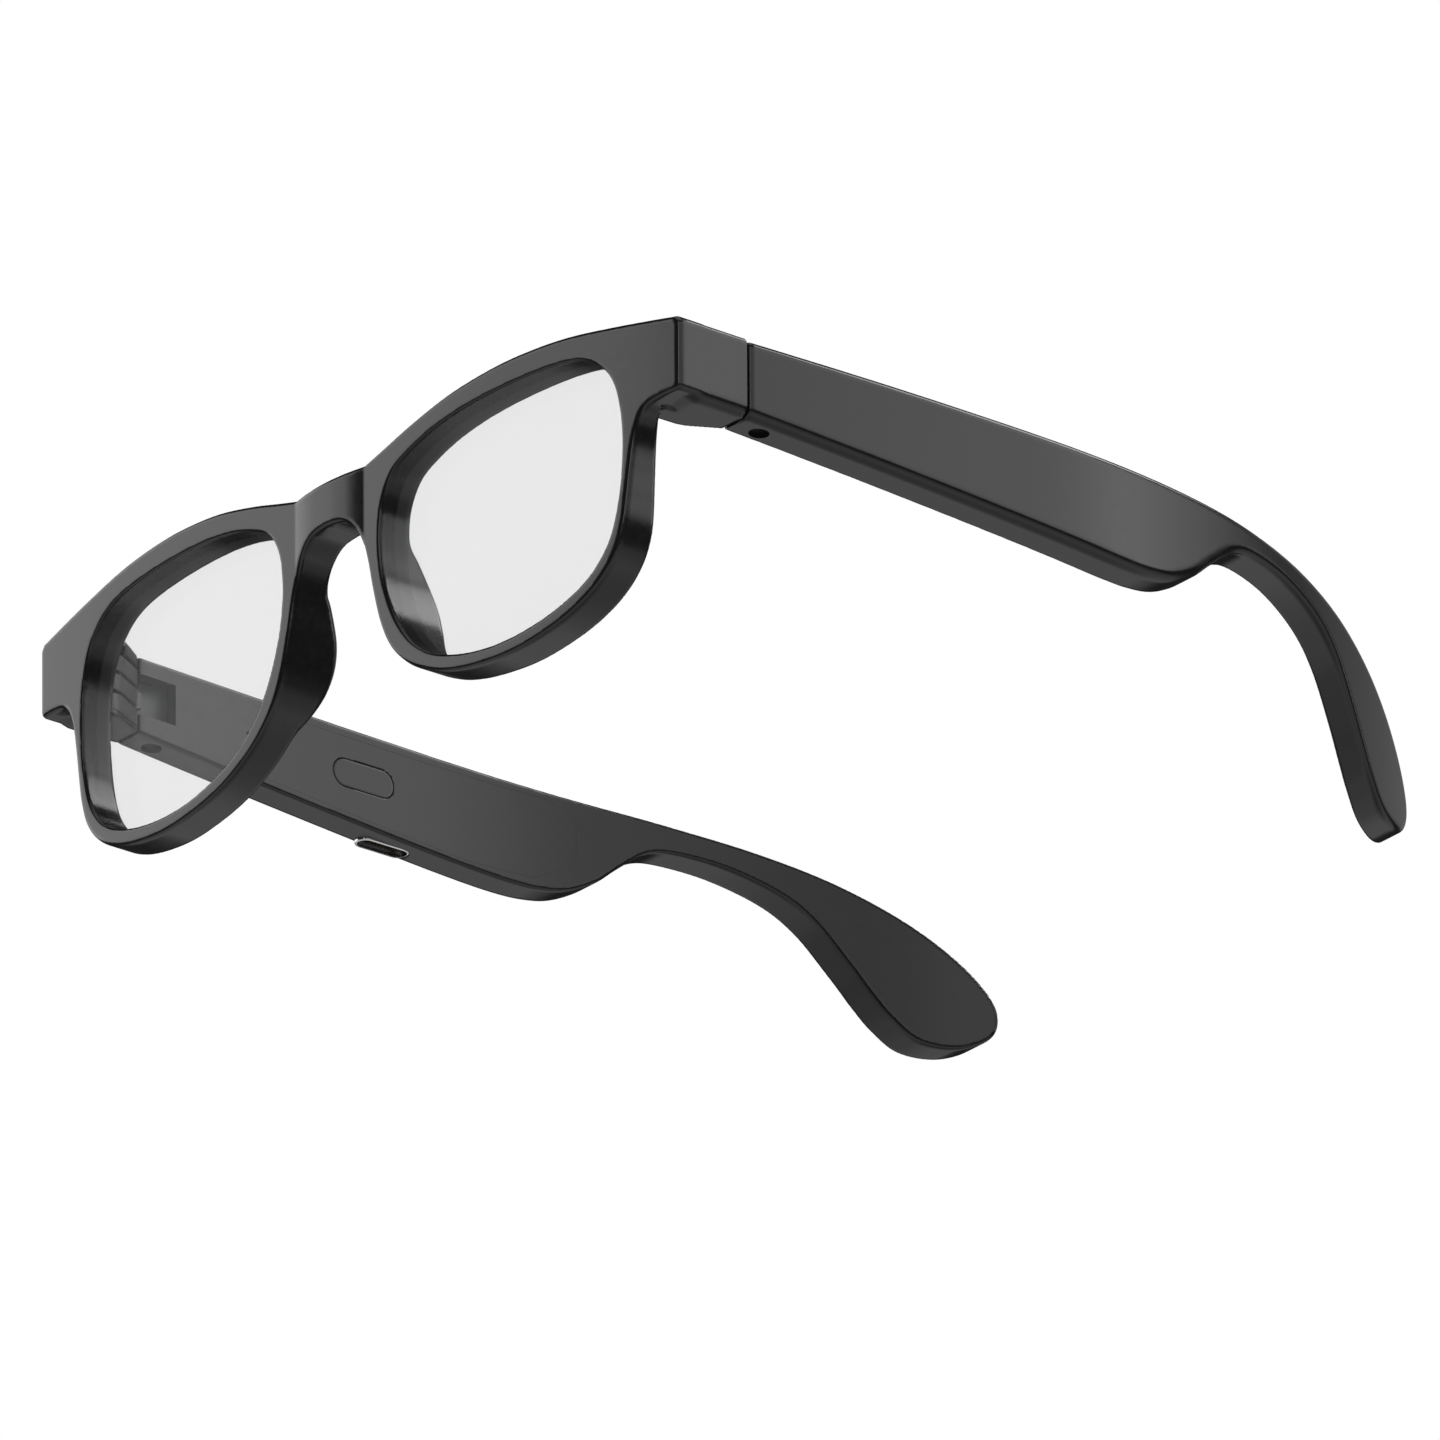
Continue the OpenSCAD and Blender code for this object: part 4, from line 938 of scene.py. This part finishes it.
# Radiance of the soft light. LEVELS gives it by height (the sine of the elevation). Between the heights in
# PANEL_HEIGHT a ring of panels takes over, whose radiance goes by the angle from +X in degrees.
GLOW = 5.0
LEVELS = [(-1, 0.3), (-0.62, 0.7), (-0.45, 0.48), (-0.34, 0.46), (-0.24, 0.1), (-0.1, 0.02),
          (0.86, 0.02), (0.9, 0.5), (1.0, 0.9)]
PANEL_HEIGHT = [(0.05, 0), (0.15, 1), (0.6, 1), (0.7, 0)]
PANELS = [(-180, 1.6), (-160, 1.6), (-152, 1.45), (-144, 1.6), (-139, 1.9), (-132, 1.5), (-127, 1.9),
          (-121, 0.05), (-60, 0.03), (-56, 3.0), (-50, 3.0), (-46, 0.03), (-36, 1.0), (-26, 1.1),
          (-18, 0.75), (-8, 0.75), (2, 0.9), (24, 0.95), (30, 1.25), (38, 1.6), (42, 1.7), (46, 2.7),
          (49, 2.0), (53, 1.6), (60, 1.0), (66, 0.45), (71, 0.2), (84, 0.35), (120, 0.4), (127, 0.02),
          (165, 0.02), (180, 1.6)]

world = bpy.data.worlds.new("studio")
bpy.context.scene.world = world
world.use_nodes = True
wt = world.node_tree
where = wt.nodes.new("ShaderNodeTexCoord")
split = wt.nodes.new("ShaderNodeSeparateXYZ")
wt.links.new(where.outputs["Generated"], split.inputs["Vector"])
lift = span(wt, split.outputs["Z"], 0, 1, (-1, 1))
turn = wt.nodes.new("ShaderNodeMath")
turn.operation = "ARCTAN2"
wt.links.new(split.outputs["Y"], turn.inputs[0])
wt.links.new(split.outputs["X"], turn.inputs[1])
around = span(wt, turn.outputs["Value"], 0, 1, (-math.pi, math.pi))
studio = wt.nodes.new("ShaderNodeMix")
studio.data_type = "RGBA"
wt.links.new(ramp(wt, lift, [((z + 1) / 2, (v,) * 3) for z, v in PANEL_HEIGHT]), studio.inputs["Factor"])
wt.links.new(ramp(wt, lift, [((z + 1) / 2, (v / GLOW,) * 3) for z, v in LEVELS]), studio.inputs["A"])
wt.links.new(ramp(wt, around, [((a + 180) / 360, (v / GLOW,) * 3) for a, v in PANELS]), studio.inputs["B"])
soft = wt.nodes.new("ShaderNodeBackground")
soft.inputs["Strength"].default_value = GLOW
wt.links.new(studio.outputs["Result"], soft.inputs["Color"])

# What is seen past the glasses, or through the lenses, is plain white
backdrop = wt.nodes["Background"]
backdrop.inputs["Color"].default_value = (1, 1, 1, 1)
backdrop.inputs["Strength"].default_value = 1.0
path = wt.nodes.new("ShaderNodeLightPath")
seen = wt.nodes.new("ShaderNodeMath")
seen.operation = "MAXIMUM"
wt.links.new(path.outputs["Is Camera Ray"], seen.inputs[0])
wt.links.new(path.outputs["Is Transmission Ray"], seen.inputs[1])
picked = mix_shaders(wt, seen.outputs["Value"], soft.outputs["Background"], backdrop.outputs["Background"])
wt.links.new(picked, wt.nodes["World Output"].inputs["Surface"])

# Soft strip above and behind, seen from the object at an angle from +X and an elevation
STRIP_TURN, STRIP_LIFT = math.radians(66), math.radians(51)
STRIP_AWAY, STRIP_SIZE, STRIP_GLOW = 1.2, (0.6, 0.26), 4.0

light = bpy.data.lights.new("top_strip", "AREA")
light.shape, (light.size, light.size_y) = "RECTANGLE", STRIP_SIZE
light.energy = STRIP_GLOW * math.pi * light.size * light.size_y
strip = bpy.data.objects.new("top_strip", light)
towards = Vector((math.cos(STRIP_TURN) * math.cos(STRIP_LIFT), math.sin(STRIP_TURN) * math.cos(STRIP_LIFT),
                  math.sin(STRIP_LIFT)))
strip.location = (CAD_LOW + CAD_HIGH) / 2 + towards * STRIP_AWAY
strip.rotation_mode = "QUATERNION"
strip.rotation_quaternion = towards.to_track_quat("Z", "Y")
strip.visible_camera = False
bpy.context.scene.collection.objects.link(strip)

# Camera: direction, width of the picture at the object, and the picture's middle as steps to the right,
# up and back from the top corner of the wearer's left end piece
AZIMUTH, ELEVATION, ROLL = (math.radians(v) for v in (51.6, -23.72, -0.29))
WIDTH = 201.9635 * MM
DISTANCE, SENSOR = 9.5, 36.0
FACE_CORNER, AIM = (HALF_W, 5.77, TOP_Z), (5.049, -56.24, -80.0)
back = Vector((math.sin(AZIMUTH) * math.cos(ELEVATION), -math.cos(AZIMUTH) * math.cos(ELEVATION),
               math.sin(ELEVATION)))
right = (-back).cross(Vector((0, 0, 1))).normalized()
up = right.cross(-back)
right, up = (math.cos(ROLL) * right + math.sin(ROLL) * up, math.cos(ROLL) * up - math.sin(ROLL) * right)
aim = ORIGIN + (Vector(FACE_CORNER) + AIM[0] * right + AIM[1] * up + AIM[2] * back) * MM
camera_data = bpy.data.cameras.new("camera")
camera_data.sensor_width = SENSOR
camera_data.lens = SENSOR * DISTANCE / WIDTH
camera_data.clip_start, camera_data.clip_end = 0.5, 60
camera = bpy.data.objects.new("camera", camera_data)
bpy.context.scene.collection.objects.link(camera)
camera.rotation_mode = "QUATERNION"
basis = np.stack([right, up, back], 1)
spot = np.array(aim + back * DISTANCE)
camera.matrix_world = Matrix(np.vstack([np.column_stack([basis, spot]), [0, 0, 0, 1]]).tolist())
bpy.context.scene.camera = camera
bpy.context.scene.view_settings.view_transform = "Standard"
bpy.context.scene.view_settings.look = "None"
